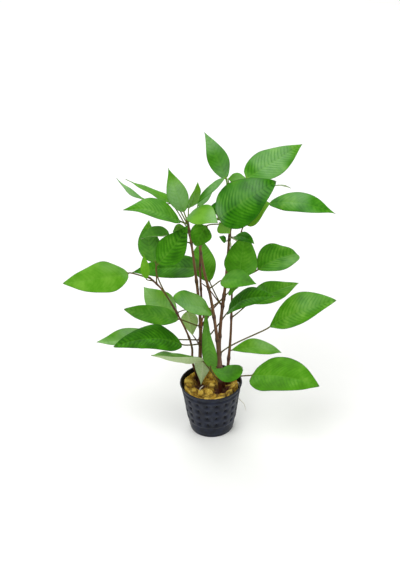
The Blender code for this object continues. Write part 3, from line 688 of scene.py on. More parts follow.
def green_bark(settings):
    """Young plant stem: dark red-brown in the wool, brown above, lighter near the top, satin and streaked,
    with painted highlight in its pale streaks.
    """
    made, tree, shader = start_material("stem_bark", 0.48, 1.45)
    where = add(tree, "ShaderNodeTexCoord").outputs["Object"]
    height = add(tree, "ShaderNodeSeparateXYZ", links={0: where}).outputs["Z"]
    colour = blend(tree, window(tree, height, 0.046, 0.062), settings.foot_colour, settings.low_colour)
    colour = blend(tree, window(tree, height, 0.120, 0.215), colour, settings.high_colour)
    streaks = patches(tree, 0.9, 2.0, (1.0, 1.0, 0.06))
    colour = blend(tree, window(tree, streaks, 0.35, 0.75, 0.0, 0.5), colour, settings.node_colour)
    # Painted highlight in pale lengthwise streaks
    colour = blend(tree, window(tree, streaks, 0.45, 0.2, 0.0, 0.35), colour, HIGHLIGHT_STREAK)
    colour = blend(tree, times(tree, attribute(tree, "joint"), 0.75), colour, settings.node_colour)
    tree.links.new(colour, shader.inputs["Base Color"])
    bumpy(tree, shader, streaks, 0.12, 0.5)
    return made


def plain_growth(name, hex_colour, end_colour, roughness):
    """Roots, shoots and bare stalks: a soft colour that turns to another at the end, faintly streaked."""
    made, tree, shader = start_material(name, roughness, 1.42)
    colour = blend(tree, attribute(tree, "share"), hex_colour, end_colour)
    streaks = patches(tree, 0.8, 2.0, (1.0, 1.0, 0.2))
    colour = blend(tree, window(tree, streaks, 0.4, 0.8, 0.0, 0.3), colour, DARK_STREAK)
    tree.links.new(colour, shader.inputs["Base Color"])
    return made


def moulded_plastic(settings):
    """Injection-moulded polypropylene: near-black slate, satin, paler on its ridge crests in patches, with
    painted shade, black, in its dimples and on its inner wall.
    """
    made, tree, shader = start_material("slate_polypropylene", 0.42, 1.49)
    shader.inputs["Specular IOR Level"].default_value = 0.22
    cloud = patches(tree, 5.0, 3.0)
    grain = patches(tree, 0.7, 2.0)
    colour = blend(tree, window(tree, cloud, 0.3, 0.7, 0.0, 0.5), settings.colour, CLOUD)
    crest = window(tree, attribute(tree, "ridge"), 0.45, 1.0)
    # Paler on the ridge crests, in patches
    pale_crests = times(tree, crest, window(tree, cloud, 0.2, 0.6))
    colour = blend(tree, times(tree, pale_crests, 0.8), colour, settings.crest_colour)
    # Painted shade, black, in the dimples
    colour = blend(tree, attribute(tree, "pit"), colour, PIT_SHADE)
    # Painted shade, black, on the inner wall
    colour = blend(tree, attribute(tree, "inside"), colour, INSIDE_SHADE)
    tree.links.new(colour, shader.inputs["Base Color"])
    tree.links.new(window(tree, cloud, 0.2, 0.8, 0.36, 0.54), shader.inputs["Roughness"])
    bumpy(tree, shader, grain, 0.08, 0.5)
    return made


def mineral_wool(settings):
    """Rockwool: matt ochre fibre, with painted highlight on the tops of its lumps and blocks, painted shade
    in its creases and on the blocks' flanks, stained dark by the roots.
    """
    made, tree, shader = start_material("mineral_wool", 0.95, 1.5)
    clump, tuft = patches(tree, 6.0, 2.0), patches(tree, 0.9, 3.0)
    colour = blend(tree, window(tree, clump, 0.25, 0.55), settings.deep_colour, settings.colour)
    # Painted highlight on the tops of lumps and blocks
    colour = blend(tree, window(tree, attribute(tree, "crest"), 0.2, 0.9), colour, settings.light_colour)
    strand = patches(tree, 1.3, 3.0, (1.0, 1.0, 0.3))
    colour = blend(tree, window(tree, tuft, 0.5, 0.75, 0.0, 0.35), colour, settings.deep_colour)
    colour = blend(tree, window(tree, strand, 0.5, 0.35, 0.0, 0.45), colour, settings.light_colour)
    # Painted shade in the creases and on the blocks' flanks
    colour = blend(tree, attribute(tree, "crease"), colour, settings.deep_colour)
    colour = blend(tree, attribute(tree, "stain"), colour, settings.stain_colour)
    tree.links.new(colour, shader.inputs["Base Color"])
    bumpy(tree, shader, reckon(tree, "ADD", tuft, strand), 0.6, 0.9)
    return made


def painted_floor(settings):
    """Pale painted studio floor, matt, with the faintest mottle."""
    made, tree, shader = start_material("studio_floor", 0.9, 1.45)
    mottle = window(tree, patches(tree, 60.0), 0.3, 0.7, 0.0, 0.15)
    colour = blend(tree, mottle, settings.floor_colour, FLOOR_MOTTLE)
    tree.links.new(colour, shader.inputs["Base Color"])
    return made


# Pot


def wall_radius(height):
    """Outer radius of the pot's wall at a height."""
    return np.interp(height, WALL_HEIGHTS, WALL_RADII)


def pot_section(settings):
    """Half section of the pot, foot first: radius, height, which stretch carries dimples and which is inside.

    From the middle of the underside out to the foot's edge, up the wall in fine steps, over a rounded rim,
    down the inside and back to the middle of the floor.
    """
    height, wall = settings.height / MM, settings.wall / MM
    under = [(radius, 0.0) for radius in (6.0, 12.0, 17.0, 18.4)] + [(18.9, 0.25), (19.2, 0.8)]
    up = np.concatenate([np.linspace(1.3, 5.0, 8), np.linspace(5.4, 43.0, 112), np.linspace(43.4, 46.6, 12)])
    neck = 0.35 * np.exp(-((up - 43.4) / 0.8) ** 2)
    outer = np.stack([wall_radius(up) - neck, up], axis=1)
    turn = np.linspace(0, math.pi, 9)
    lip = np.stack([wall_radius(height) - wall / 2 + (wall / 2 + 0.1) * np.cos(turn),
                    height - wall / 2 + wall / 2 * np.sin(turn)], axis=1)
    down = np.linspace(height - 1.6, POT_FLOOR + 0.8, 16)
    inner = np.stack([wall_radius(down) - wall, down], axis=1)
    floor = [(wall_radius(POT_FLOOR) - wall - 0.6, POT_FLOOR), (12.0, POT_FLOOR), (6.0, POT_FLOOR)]
    section = np.vstack([under, outer, lip, inner, floor])
    inside = np.zeros(len(section))
    inside[len(under) + len(outer) + 6:] = 1
    dimpled = np.zeros(len(section))
    dimpled[len(under):len(under) + len(outer)] = 1
    return section, dimpled, inside


def dimple_relief(turn, height, settings):
    """Relief of the wall: pits on a grid of columns and rows, and low ridges that cross between them.

    A pit is a steep round hollow at the middle of each cell. The ridges are a wave up the wall, a weaker one
    round it, two that cross slantwise and a little noise. Both fade out above the top row and below the last.
    """
    column = turn * settings.columns / (2 * math.pi)
    row = (settings.row_top / MM - height) / (settings.row_pitch / MM)
    across = (column - np.round(column)) * 2 * math.pi * wall_radius(height) / settings.columns
    down = (row - np.round(row)) * settings.row_pitch / MM
    held = ease(row, -0.75, -0.35) * (1 - ease(row, settings.rows - 0.7, settings.rows - 0.3))
    pit = np.exp(-((across / 1.05) ** 2 + (down / 1.3) ** 2) ** 1.5) * held
    uneven = value_noise(*np.broadcast_arrays(column * 9, row * 7), 5.0, 61)
    crossed = np.cos(2 * math.pi * (column + row)) + np.cos(2 * math.pi * (column - row))
    ridge = 0.5 - 0.17 * np.cos(2 * math.pi * row) - 0.12 * np.cos(2 * math.pi * column)
    ridge = ridge - 0.1 * crossed + 0.16 * uneven
    return pit, ridge * held


def pot_surface(settings):
    """The pot: its section turned once about the vertical, with the relief taken off its radius."""
    section, dimpled, inside = pot_section(settings)
    sides = settings.columns * POINTS_PER_COLUMN
    turn = np.arange(sides) * 2 * math.pi / sides
    radius = np.repeat(section[:, :1], sides, axis=1)
    height = np.repeat(section[:, 1:], sides, axis=1)
    pit, ridge = dimple_relief(turn[None, :], height, settings)
    pit, ridge = pit * dimpled[:, None], ridge * dimpled[:, None]
    radius = radius - settings.dimple_depth / MM * pit + RIDGE_HEIGHT * (ridge - 0.5) * dimpled[:, None]
    rings = np.stack([radius * np.cos(turn), radius * np.sin(turn), height], axis=-1)
    points = np.vstack([[0, 0, 0], rings.reshape(-1, 3), [0, 0, POT_FLOOR]])
    faces = [face[::-1] for face in ring_faces(len(section), sides)]

    def spread(grid):
        return np.concatenate([[grid[0, 0]], grid.ravel(), [grid[-1, 0]]])

    values = {"pit": spread(pit), "ridge": spread(ridge),
              "inside": spread(np.repeat(inside[:, None], sides, axis=1))}
    return piece_mesh("pot_surface", points, faces, moulded_plastic(settings), values)


# Rockwool


def wool_lumps(x, y):
    """Lumps of wool: how far a place lies inside its own, 0 on a crease and 1 at its middle.

    The lumps are the cells round scattered seeds, and a place's depth is the lead of its nearest seed over
    the next nearest.
    """
    rng = np.random.default_rng(8)
    angle, radius = rng.uniform(0, 2 * math.pi, 24), POT_MOUTH * np.sqrt(rng.uniform(0, 1, 24))
    seeds = np.stack([radius * np.cos(angle), radius * np.sin(angle)], axis=1)
    bent_x = x + 1.1 * value_noise(x, y, 3.4, 4)
    bent_y = y + 1.1 * value_noise(x, y, 3.4, 5)
    far = np.sort(np.hypot(bent_x[..., None] - seeds[:, 0], bent_y[..., None] - seeds[:, 1]), axis=-1)
    return np.clip((far[..., 1] - far[..., 0]) / 2.6, 0, 1)


def hollow_distance(x, y):
    """Distance from a place to the nearest hollow round the stems' feet, in that hollow's own radii."""
    spots = np.array(WOOL_HOLLOWS, float)
    return np.min(np.hypot(x[..., None] - spots[:, 0], y[..., None] - spots[:, 1]) / spots[:, 2], axis=-1)


def wool_blocks(x, y):
    """How far into a torn block of wool a place lies: 1 on the block's top, 0 off it, steep at its sides."""
    depth = np.zeros(np.shape(x))
    shift_x, shift_y = 0.7 * value_noise(x, y, 3.0, 15), 0.7 * value_noise(x, y, 3.0, 16)
    for middle_x, middle_y, half_x, half_y, height in WOOL_BLOCKS:
        reach = ((x + shift_x - middle_x) / half_x) ** 4 + ((y + shift_y - middle_y) / half_y) ** 4
        depth = np.maximum(depth, height * np.exp(-reach))
    return depth


def wool_height(x, y, settings):
    """Height of the wool: rising to the wall, with lumps, torn blocks, noise and hollows round stems."""
    rise = 5.0 * ((x * x + y * y) / POT_MOUTH ** 2) ** 2
    lump = (np.sqrt(wool_lumps(x, y)) - 0.55) * settings.lump / MM
    rough = 0.6 * value_noise(x, y, 4.6, 1) + 0.3 * value_noise(x, y, 1.8, 2)
    rough = rough + 0.14 * value_noise(x, y, 0.8, 3)
    hollow = 3.6 * np.exp(-(hollow_distance(x, y) / 0.85) ** 2)
    level = settings.top / MM + WOOL_LIFT + rise + lump + rough - hollow
    return level + wool_blocks(x, y) - 0.03 * y


def wool_surface(settings):
    """The wool: rings of its lumpy top out to the wall, then down the inside of the pot, closed below."""
    sides, rings = 200, 64
    turn = np.arange(sides) * 2 * math.pi / sides
    share = np.linspace(0, 1, rings + 1)[1:]
    reach = WOOL_RADIUS * share[:, None] * np.ones(sides)
    torn = 1 + value_noise(6 * np.cos(turn), 6 * np.sin(turn), 1.3, 6)
    reach = reach * (1 - 0.02 * share[:, None] ** 4 * torn)
    x, y = reach * np.cos(turn), reach * np.sin(turn)
    z = wool_height(x, y, settings) - 1.2 * ease(share[:, None], 0.95, 1.0) ** 2
    low = np.array([39.0, 30.0, 20.0, 10.0, POT_FLOOR + 0.3])
    wall = (wall_radius(low) - POT_WALL - WOOL_GAP)[:, None]
    x = np.vstack([x, wall * np.cos(turn)])
    y = np.vstack([y, wall * np.sin(turn)])
    z = np.vstack([z, np.repeat(low[:, None], sides, axis=1)])
    centre = wool_height(np.array([0.0]), np.array([0.0]), settings)[0]
    points = np.vstack([[0, 0, centre], np.stack([x, y, z], axis=-1).reshape(-1, 3), [0, 0, low[-1]]])
    px, py = points[:, 0], points[:, 1]
    lump, block = wool_lumps(px, py), wool_blocks(px, py)
    flank = ease(block, 0.1, 0.8) * (1 - ease(block, 1.6, 2.6))
    # Painted highlight on the tops of lumps and blocks
    crest = np.maximum(lump * ease(value_noise(px, py, 6.0, 9), -0.4, 0.8), ease(block, 1.8, 3.0))
    # Painted shade in the creases between lumps and on the flanks of the blocks
    crease = np.maximum(0.8 - 0.8 * ease(lump + block, 0.0, 0.3), 0.7 * flank)
    values = {"crease": crease, "crest": crest,
              "stain": wool_stain(px, py) * (1 - 0.8 * ease(block, 1.5, 2.5))}
    faces = ring_faces(rings + len(low), sides)
    return piece_mesh("rockwool_surface", points, faces, mineral_wool(settings), values)


def wool_stain(x, y):
    """How dark the roots have stained the wool: strong round the stems' feet, with a ragged edge."""
    reach = hollow_distance(x, y) + 0.3 * value_noise(x, y, 3.0, 12)
    return 1 - ease(reach, 0.6, 1.25)


def wool_fibres(settings):
    """Tufts of fibre on the wool: thin three-sided ribbons, each along a parabola over the lumps.

    A fibre starts at a scattered place and runs in a scattered direction. Its height is the wool's own plus
    an arch, and its end lifts off a little.
    """
    count, steps, sides = settings.fibres, 7, 3
    rng = np.random.default_rng(21)
    angle, radius = rng.uniform(0, 2 * math.pi, count), FIBRE_START * np.sqrt(rng.uniform(0, 1, count))
    heading, length = rng.uniform(0, 2 * math.pi, count), rng.uniform(2.5, 8.0, count)
    bend, lift = rng.uniform(-1.2, 1.2, count), rng.uniform(0.1, 1.1, count)
    t = np.linspace(0, 1, steps)[None, :]
    run = length[:, None] * t
    curl = bend[:, None] * (t ** 2) * 2.0
    x = (radius * np.cos(angle))[:, None] + run * np.cos(heading)[:, None] - curl * np.sin(heading)[:, None]
    y = (radius * np.sin(angle))[:, None] + run * np.sin(heading)[:, None] + curl * np.cos(heading)[:, None]
    inwards = np.minimum(1.0, FIBRE_REACH / np.maximum(np.hypot(x, y), 1e-6))
    x, y = x * inwards, y * inwards
    z = wool_height(x, y, settings) + 0.1 + lift[:, None] * (2.2 * t * (1 - t) + 0.25 * t)
    line = np.stack([x, y, z], axis=-1)
    along = unit(np.gradient(line, axis=1) + 1e-9)
    across = unit(np.cross(along, [0.0, 0.0, 1.0]) + 1e-9)
    other = np.cross(along, across)
    thick = settings.fibre_radius / MM * (1.15 - 0.8 * np.abs(2 * t - 1) ** 3)[..., None, None]
    turn = np.arange(sides) * 2 * math.pi / sides
    rings = line[:, :, None] + thick * (np.cos(turn)[:, None] * across[:, :, None]
                                        + np.sin(turn)[:, None] * other[:, :, None])
    each = steps * sides + 2
    points = np.concatenate([line[:, :1], rings.reshape(count, -1, 3), line[:, -1:]], axis=1)
    faces = [[corner + first for corner in face[::-1]] for first in range(0, count * each, each)
             for face in ring_faces(steps, sides)]
    flat = points.reshape(-1, 3)
    crest = np.repeat(rng.uniform(0.3, 1.0, count), each)
    values = {"crest": crest, "crease": np.zeros(count * each),
              "stain": 0.75 * wool_stain(flat[:, 0], flat[:, 1])}
    return piece_mesh("rockwool_fibres", flat, faces, bpy.data.materials["mineral_wool"], values)


# Stems


def stem_joints(stem):
    """Heights of a stem's nodes: those that carry leaves, and one at each pitch where none is near."""
    leafy = sorted(leaf.node for leaf in LEAVES if leaf.stem == stem.name)
    foot, top = stem.route[0][2], stem.route[-1][2]
    pitch = bpy.context.scene.plant_stems.node_pitch / MM
    spare = [height for height in np.arange(foot + 0.8 * pitch, top - 8, pitch)
             if all(abs(height - other) > 0.45 * pitch for other in leafy)]
    return np.array(leafy + spare)


def stem_surface(stem, finish):
    """A stem: a softly four-sided tube along its route that swells at its nodes.

    The radius falls evenly from foot to top, times one plus a bell curve at each node and a small wave with
    four crests round the stem that turns slowly up it.
    """
    settings = bpy.context.scene.plant_stems
    sides = 20
    route = np.asarray(stem.route, float)
    if stem.route[0][2] < 50:
        route = np.vstack([route[0] - [0, 0, 7.0], route])
    length = np.linalg.norm(np.diff(route, axis=0), axis=1).sum()
    count = int(length / 0.9)
    line = smooth_route(route, count)
    along, across, other = path_frames(line)
    share = np.clip((line[:, 2] - stem.route[0][2]) / (stem.route[-1][2] - stem.route[0][2]), 0, 1)
    radius = stem.foot_radius + share * (stem.top_radius - stem.foot_radius)
    joints = stem_joints(stem)
    gap = line[:, 2][:, None] - joints
    joint = np.exp(-(gap / 1.5) ** 2).max(axis=1)
    radius = radius * THINNED.get(stem.name, 1.0)
    radius = radius * (0.94 + settings.node_swelling * np.exp(-(gap / 2.3) ** 2).max(axis=1))
    radius *= np.sqrt(1 - 0.9 * ease(np.linspace(0, 1, count), 0.985, 1.0))
    turn = np.arange(sides) * 2 * math.pi / sides
    square = 1 + 0.05 * np.cos(4 * turn[None, :] + line[:, 2:] / 60)
    rings = line[:, None] + (radius[:, None] * square)[..., None] * (
        np.cos(turn)[None, :, None] * across[:, None] + np.sin(turn)[None, :, None] * other[:, None])
    points = np.vstack([line[0] - along[0], rings.reshape(-1, 3), line[-1] + along[-1] * 0.5])
    held = np.concatenate([[0], np.repeat(joint, sides), [0]])
    faces = [face[::-1] for face in ring_faces(count, sides)]
    return piece_mesh(f"{stem.name}_surface", points, faces, finish, {"joint": held})


# Leaves


def outline(leaf, share):
    """Half width of a blade along its midrib, as a share of the widest.

    It is the sine of half a turn, stretched so that its crest lies where the blade is widest, to a power
    that changes from the base's taper to the tip's.
    """
    swept = share ** (math.log(0.5) / math.log(leaf.broadest))
    taper = leaf.base_taper + (leaf.tip_taper - leaf.base_taper) * share
    return np.clip(np.sin(math.pi * swept), 0, 1) ** taper


def face_direction(leaf):
    """The way that a blade's upper face looks, square to its midrib."""
    tilt, side = math.radians(leaf.tilt), math.radians(leaf.side)
    looks = np.array([math.sin(side), -math.sin(tilt) * math.cos(side), math.cos(tilt) * math.cos(side)])
    along = unit(np.subtract(leaf.tip, leaf.base))
    return unit(looks - looks.dot(along) * along)


def blade_frames(leaf, share):
    """The midrib at shares of its length: its points, and the ways along it, across it and off the face."""
    share = np.asarray(share, float)[:, None]
    chord = np.subtract(leaf.tip, leaf.base)
    up = face_direction(leaf)
    bend = up * leaf.arch + unit(np.cross(chord, up)) * leaf.sway
    centre = np.asarray(leaf.base, float) + chord * share + bend * 4 * share * (1 - share)
    along = unit(chord + bend * 4 * (1 - 2 * share))
    normal = unit(up - (along @ up)[:, None] * along)
    across = np.cross(along, normal)
    turn = math.radians(leaf.twist) * share
    return (centre, along, across * np.cos(turn) + normal * np.sin(turn),
            normal * np.cos(turn) - across * np.sin(turn))


def section_places(count):
    """Places round a blade's section, from its right margin over the upper face to the left and back below.

    Returns each place as a share of the half width, its side (1 above, -1 below, 0 on a margin) and its turn
    round a stalk's circle. Places are closer at the midrib and at the margins.
    """
    even = np.linspace(1, -1, count)
    upper = np.sign(even) * (0.6 * np.abs(even) + 0.4 * even ** 2)
    upper = np.concatenate([[1.0, 0.975], upper[1:-1], [-0.975, -1.0]])
    turn = np.linspace(0, math.pi, len(upper))
    side = np.ones(len(upper))
    side[[0, -1]] = 0
    return (np.concatenate([upper, upper[-2:0:-1]]), np.concatenate([side, -np.ones(len(upper) - 2)]),
            np.concatenate([turn, 2 * math.pi - turn[-2:0:-1]]))


def vein_phase(share, across, length, half, spacing):
    """Which side vein a place lies near: a vein leaves the midrib and bows towards the tip as it goes out."""
    out = np.abs(across)
    return (share * length - 0.45 * out - 0.7 * out ** 2 / half) / spacing


def blade_relief(leaf, look, length, share, place, half, phase, dice):
    """Height of a blade off its folded plane: pillows between the veins, waving margins and a slow warp."""
    quilt = SWELLING * look.quilt * np.abs(np.sin(math.pi * phase)) ** 0.8
    quilt = quilt * ease(1 - np.abs(place), 0.0, 0.3) * ease(np.abs(place), 0.02, 0.2)
    quilt = quilt * ease(share, 0.02, 0.15) * (1 - ease(share, 0.85, 0.98))
    shift = dice.uniform(0, 1, 4)
    beat = np.where(place > 0, shift[0], shift[1])
    ends = ease(share, 0.05, 0.3) * ease(1 - share, 0.0, 0.25)
    wave = look.wave * np.abs(place) ** 3 * np.sin(2 * math.pi * (1.9 * share + beat))
    warp = 0.8 * np.sin(2 * math.pi * (0.7 * share + 0.25 * place + shift[2]))
    swell = 0.5 * value_noise(share * length + 100 * shift[3], place * half + 30, 11.0, 31)
    return quilt + (wave + (warp + swell) * min(1.0, leaf.width / 22)) * ends


def smooth_bridge(begin, leave, end, arrive, share):
    """The cubic curve between two points that leaves and arrives at given velocities: points and ways."""
    share = np.asarray(share, float)[:, None]
    square, cube = share ** 2, share ** 3
    point = ((2 * cube - 3 * square + 1) * begin + (cube - 2 * square + share) * leave
             + (3 * square - 2 * cube) * end + (cube - square) * arrive)
    along = (6 * (square - share) * (begin - end) + (3 * square - 4 * share + 1) * leave
             + (3 * square - 2 * share) * arrive)
    return point, unit(along)


def leaf_surface(leaf, look, stem, finish, index):
    """A leaf in one closed surface: a profile carried along the stalk and on along the midrib.

    On the stalk the profile is a circle, wider at its foot. Over the first part of the blade it eases into a
    thin folded section as wide as the outline there, with the relief on both faces, a groove above and a
    rib below that carries the stalk on and thins out towards the tip.
    """
    settings, stalks = bpy.context.scene.plant_leaves, bpy.context.scene.plant_stems
    dice = np.random.default_rng(100 + index)
    length = np.linalg.norm(np.subtract(leaf.tip, leaf.base))
    grid, radius = settings.grid / MM, stalks.stalk_radius / MM * min(1.0, 0.55 + leaf.width / 60)
    place, side, turn = section_places(max(12, 2 * int(leaf.width / grid / 2)))
    share = np.linspace(0, 1, max(18, int(length / grid)) + 2)[1:-1] ** 1.12
    end, start, _, normal = (rows[0] for rows in blade_frames(leaf, [0.0]))
    foot, stem_radius = stem_at(stem, leaf.node)
    flat = unit([*(end - foot)[:2], 0.0])
    begin = foot + flat * stem_radius * 0.3
    reach = np.linalg.norm(end - begin)
    steps = np.linspace(0, 1, max(7, int(reach / 1.2)))[:-1]
    way = STALK_SPREAD * flat + unit(end - foot) + np.array([0.0, 0.0, leaf.stalk_rise])
    leave = unit(way) * reach * STALK_LEAVE
    line, ways = smooth_bridge(begin, leave, end, start * reach * STALK_ARRIVE, steps)
    upright = unit(normal - (ways @ normal)[:, None] * ways)
    level = np.cross(ways, upright)
    thick = radius * (1 + 0.7 * np.exp(-steps * reach / 2.0))[:, None, None]
    circle = np.cos(turn)[None, :, None] * level[:, None] + np.sin(turn)[None, :, None] * upright[:, None]
    stalk = line[:, None] + thick * circle

    centre, _, across, normal = blade_frames(leaf, share)
    half = (leaf.width / 2 * outline(leaf, share))[:, None]
    s, p = share[:, None], place[None, :]
    out = half * p
    phase = vein_phase(s, out, length, leaf.width / 2, settings.vein_spacing / MM)
    grown = ease(s, 0.0, 0.05)
    rib_radius = radius * (1 - 0.8 * s)
    rib = np.exp(-(out / rib_radius) ** 2)
    phase = phase + 0.14 * value_noise(s * length + 3 * index, out + 70, 7.0, 38)
    relief = blade_relief(leaf, look, length, s, p, half, phase, dice)
    fold = half * math.tan(math.radians(leaf.fold)) * (np.sqrt(p * p + 0.01) - 0.1 - 0.3 * p * p)
    skin = settings.thickness / MM / 2 * side * (1 - 0.5 * np.abs(p) ** 4)
    sunk = np.where(side > 0, 0.25 * rib * (1 - s), np.where(side < 0, 1.3 * rib_radius * rib, 0.0))
    rise = (1 - grown) * radius * np.sin(turn) + grown * (fold + skin + relief - sunk)
    width = (1 - grown) * radius * np.cos(turn) + grown * out
    blade = centre[:, None] + width[..., None] * across[:, None] + rise[..., None] * normal[:, None]

    mottle = value_noise(s * length + 7 * index, out + 50, 8.0, 35)
    mottle = mottle + 0.5 * value_noise(s * length + 13 * index, out + 30, 3.2, 39)
    # Where on the blade the patches of painted sheen lie
    painted_sheen_patches = value_noise(s * length + 11 * index, 0.8 * out + 90, 17.0, 36)
    faint = value_noise(s * length + 5 * index, out + 20, 13.0, 37)
    tip = blade_frames(leaf, [1.0])[0][0] + normal[-1] * relief[-1, len(place) // 4]
    points = np.vstack([begin[None], stalk.reshape(-1, 3), blade.reshape(-1, 3), tip[None]])

    def spread(on_stalk, on_blade):
        body = np.broadcast_to(on_blade, blade.shape[:2]).ravel()
        return np.concatenate([[on_stalk], np.full(stalk.shape[0] * len(place), on_stalk), body, [body[-1]]])

    values = {
        "upper": spread(1.0, (side >= 0)[None, :].astype(float)),
        "edge": spread(0.0, np.abs(p)),
        "along": spread(0.0, s),
        "rib": spread(0.0, rib * np.ones_like(out)),
        "vein": spread(0.0, phase + 40.0),
        "stalk": spread(1.0, 1 - ease(s, 0.0, 0.06)),
        # half paints one half of the blade lighter and the other darker, as if the light fell on one side;
        # the mottle is random
        "tone": spread(look.tone, look.tone + look.half * np.tanh(3 * p) / 2 + 0.55 * mottle),
        # Painted sheen, in patches and fainter at the margins
        "sheen": spread(0.0, look.sheen * ease(painted_sheen_patches, -0.5, 0.5) * (1 - 0.5 * p ** 4)),
        "youth": np.full(len(points), look.youth),
        "fresh": np.full(len(points), 0.15 + 0.6 * ease(leaf.node, 195, 240)),
        "veins": spread(0.0, look.veins * (0.6 + 0.4 * faint)),
    }
    faces = ring_faces(len(stalk) + len(blade), len(place))
    return piece_mesh(f"{leaf.name}_surface", points, faces, finish, values)


# Operators


class PLANT_OT_pot(bpy.types.Operator):
    """Makes the dimpled pot"""

    bl_idname = "plant.pot"
    bl_label = "Pot"

    def execute(self, context):
        place(pot_surface(context.scene.plant_pot), "pot", "pot")
        return {"FINISHED"}


class PLANT_OT_rockwool(bpy.types.Operator):
    """Makes the rockwool and its loose fibres"""

    bl_idname = "plant.rockwool"
    bl_label = "Rockwool"

    def execute(self, context):
        place(wool_surface(context.scene.plant_wool), "rockwool", "rockwool")
        place(wool_fibres(context.scene.plant_wool), "rockwool")
        return {"FINISHED"}


class PLANT_OT_stems(bpy.types.Operator):
    """Makes the stems"""

    bl_idname = "plant.stems"
    bl_label = "Stems"

    def execute(self, context):
        finish = green_bark(context.scene.plant_stems)
        for stem in STEMS:
            place(stem_surface(stem, finish), "stem", stem.name)
        return {"FINISHED"}


class PLANT_OT_leaves(bpy.types.Operator):
    """Makes the leaves and their stalks"""

    bl_idname = "plant.leaves"
    bl_label = "Leaves"

    def execute(self, context):
        finish = living_leaf(context.scene.plant_leaves, context.scene.plant_stems)
        stems = {stem.name: stem for stem in STEMS}
        for index, leaf in enumerate(LEAVES):
            piece = leaf_surface(leaf, LOOKS[leaf.name], stems[leaf.stem], finish, index)
            place(piece, "leaf", leaf.name)
        return {"FINISHED"}


class PLANT_OT_sprigs(bpy.types.Operator):
    """Makes the loose roots, the young shoots and the bare stalks"""

    bl_idname = "plant.sprigs"
    bl_label = "Roots and shoots"

    def execute(self, context):
        settings = context.scene.plant_stems
        finishes = {
            "root": plain_growth("pale_root", settings.root_colour, "efe9dc", 0.55),
            "shoot": plain_growth("young_shoot", settings.shoot_colour, "d3dcb4", 0.45),
            "stalk": plain_growth("bare_stalk", settings.stalk_colour, "6a4a3c", 0.5),
            "stub": plain_growth("fresh_stub", "9a5a22", "8a4a1c", 0.5),
        }
        for name, route, first, last, kind in SPRIGS:
            place(tube(name, route, (first, last), finishes[kind]), "stem")
        return {"FINISHED"}


class PLANT_OT_stage(bpy.types.Operator):
    """Makes the floor, the lights and the camera"""

    bl_idname = "plant.stage"
    bl_label = "Stage"

    def execute(self, context):
        settings = context.scene.plant_stage
        lay_floor(settings)
        hang_light("key_light", (-0.55, -0.75, 1.55), 1.1, settings.key_power)
        hang_light("fill_light", (0.95, -0.35, 0.95), 0.9, settings.fill_power)
        hang_light("back_light", (-0.15, 1.05, 1.05), 1.2, settings.back_power)
        light_surroundings(settings.sky)
        stand_camera(settings)
        return {"FINISHED"}


# Stage


def lay_floor(settings):
    """A level square far wider than the plant, at the height of the pot's foot."""
    far = 6000.0
    corners = [(-far, -far, 0), (far, -far, 0), (far, far, 0), (-far, far, 0)]
    piece_mesh("studio_floor", corners, [[0, 1, 2, 3]], painted_floor(settings))


def hang_light(name, spot, size, power):
    """A square soft light that looks at the middle of the plant."""
    lamp = bpy.data.lights.new(name, "AREA")
    lamp.size = size
    lamp.energy = power
    made = bpy.data.objects.new(name, lamp)
    made.location = spot
    made.rotation_euler = (Vector((0.0, 0.0, 0.14)) - Vector(spot)).to_track_quat("-Z", "Y").to_euler()
    bpy.context.scene.collection.objects.link(made)


def light_surroundings(strength):
    """Even white light from all round."""
    world = bpy.data.worlds.new("studio")
    world.use_nodes = True
    world.node_tree.nodes["Background"].inputs["Color"].default_value = (1.0, 1.0, 1.0, 1.0)
    world.node_tree.nodes["Background"].inputs["Strength"].default_value = strength
    bpy.context.scene.world = world


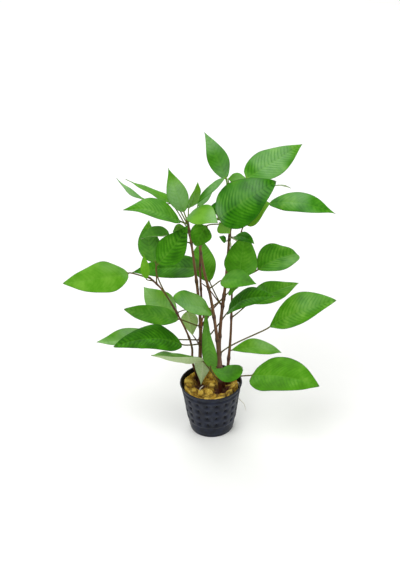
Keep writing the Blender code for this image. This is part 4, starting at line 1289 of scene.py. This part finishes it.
def stand_camera(settings):
    """The camera: it stands at the eye, looks down by the elevation and leans by the roll."""
    down, lean = settings.elevation, settings.roll
    ahead = Vector((0.0, math.cos(down), -math.sin(down)))
    level, upward = Vector((1.0, 0.0, 0.0)), Vector((0.0, math.sin(down), math.cos(down)))
    right = level * math.cos(lean) - upward * math.sin(lean)
    up = upward * math.cos(lean) + level * math.sin(lean)
    sight = bpy.data.cameras.new("photo_camera")
    sight.sensor_width = 36.0
    sight.sensor_fit = "AUTO"
    sight.lens = settings.lens
    sight.clip_start, sight.clip_end = 0.01, 20.0
    made = bpy.data.objects.new("photo_camera", sight)
    turned = Matrix((right, up, -ahead)).transposed().to_4x4()
    made.matrix_world = Matrix.Translation(Vector(settings.eye)) @ turned
    bpy.context.scene.collection.objects.link(made)
    bpy.context.scene.camera = made


class PLANT_PT_panel(bpy.types.Panel):
    """The plant's pieces, in the order in which they are made"""

    bl_idname = "PLANT_PT_panel"
    bl_label = "Potted temple plant"
    bl_space_type = "VIEW_3D"
    bl_region_type = "UI"
    bl_category = "Plant"

    def draw(self, context):
        for operator in OPERATORS:
            self.layout.operator(operator.bl_idname)


OPERATORS = (PLANT_OT_pot, PLANT_OT_rockwool, PLANT_OT_stems, PLANT_OT_leaves, PLANT_OT_sprigs,
             PLANT_OT_stage)
SETTINGS = {
    "plant_pot": PotSettings,
    "plant_wool": WoolSettings,
    "plant_stems": StemSettings,
    "plant_leaves": LeafSettings,
    "plant_stage": StageSettings,
}


def register():
    """Registers the settings, the operators and the panel."""
    for group in SETTINGS.values():
        bpy.utils.register_class(group)
    for name, group in SETTINGS.items():
        setattr(bpy.types.Scene, name, PointerProperty(type=group))
    for cls in (*OPERATORS, PLANT_PT_panel):
        bpy.utils.register_class(cls)


def unregister():
    """Takes back all that register did."""
    for cls in (PLANT_PT_panel, *reversed(OPERATORS)):
        bpy.utils.unregister_class(cls)
    for name, group in SETTINGS.items():
        delattr(bpy.types.Scene, name)
        bpy.utils.unregister_class(group)


def main():
    """Makes every piece in order."""
    register()
    bpy.context.scene.view_settings.view_transform = "Standard"
    bpy.ops.plant.pot()
    bpy.ops.plant.rockwool()
    bpy.ops.plant.stems()
    bpy.ops.plant.leaves()
    bpy.ops.plant.sprigs()
    bpy.ops.plant.stage()


if __name__ == "__main__":
    main()
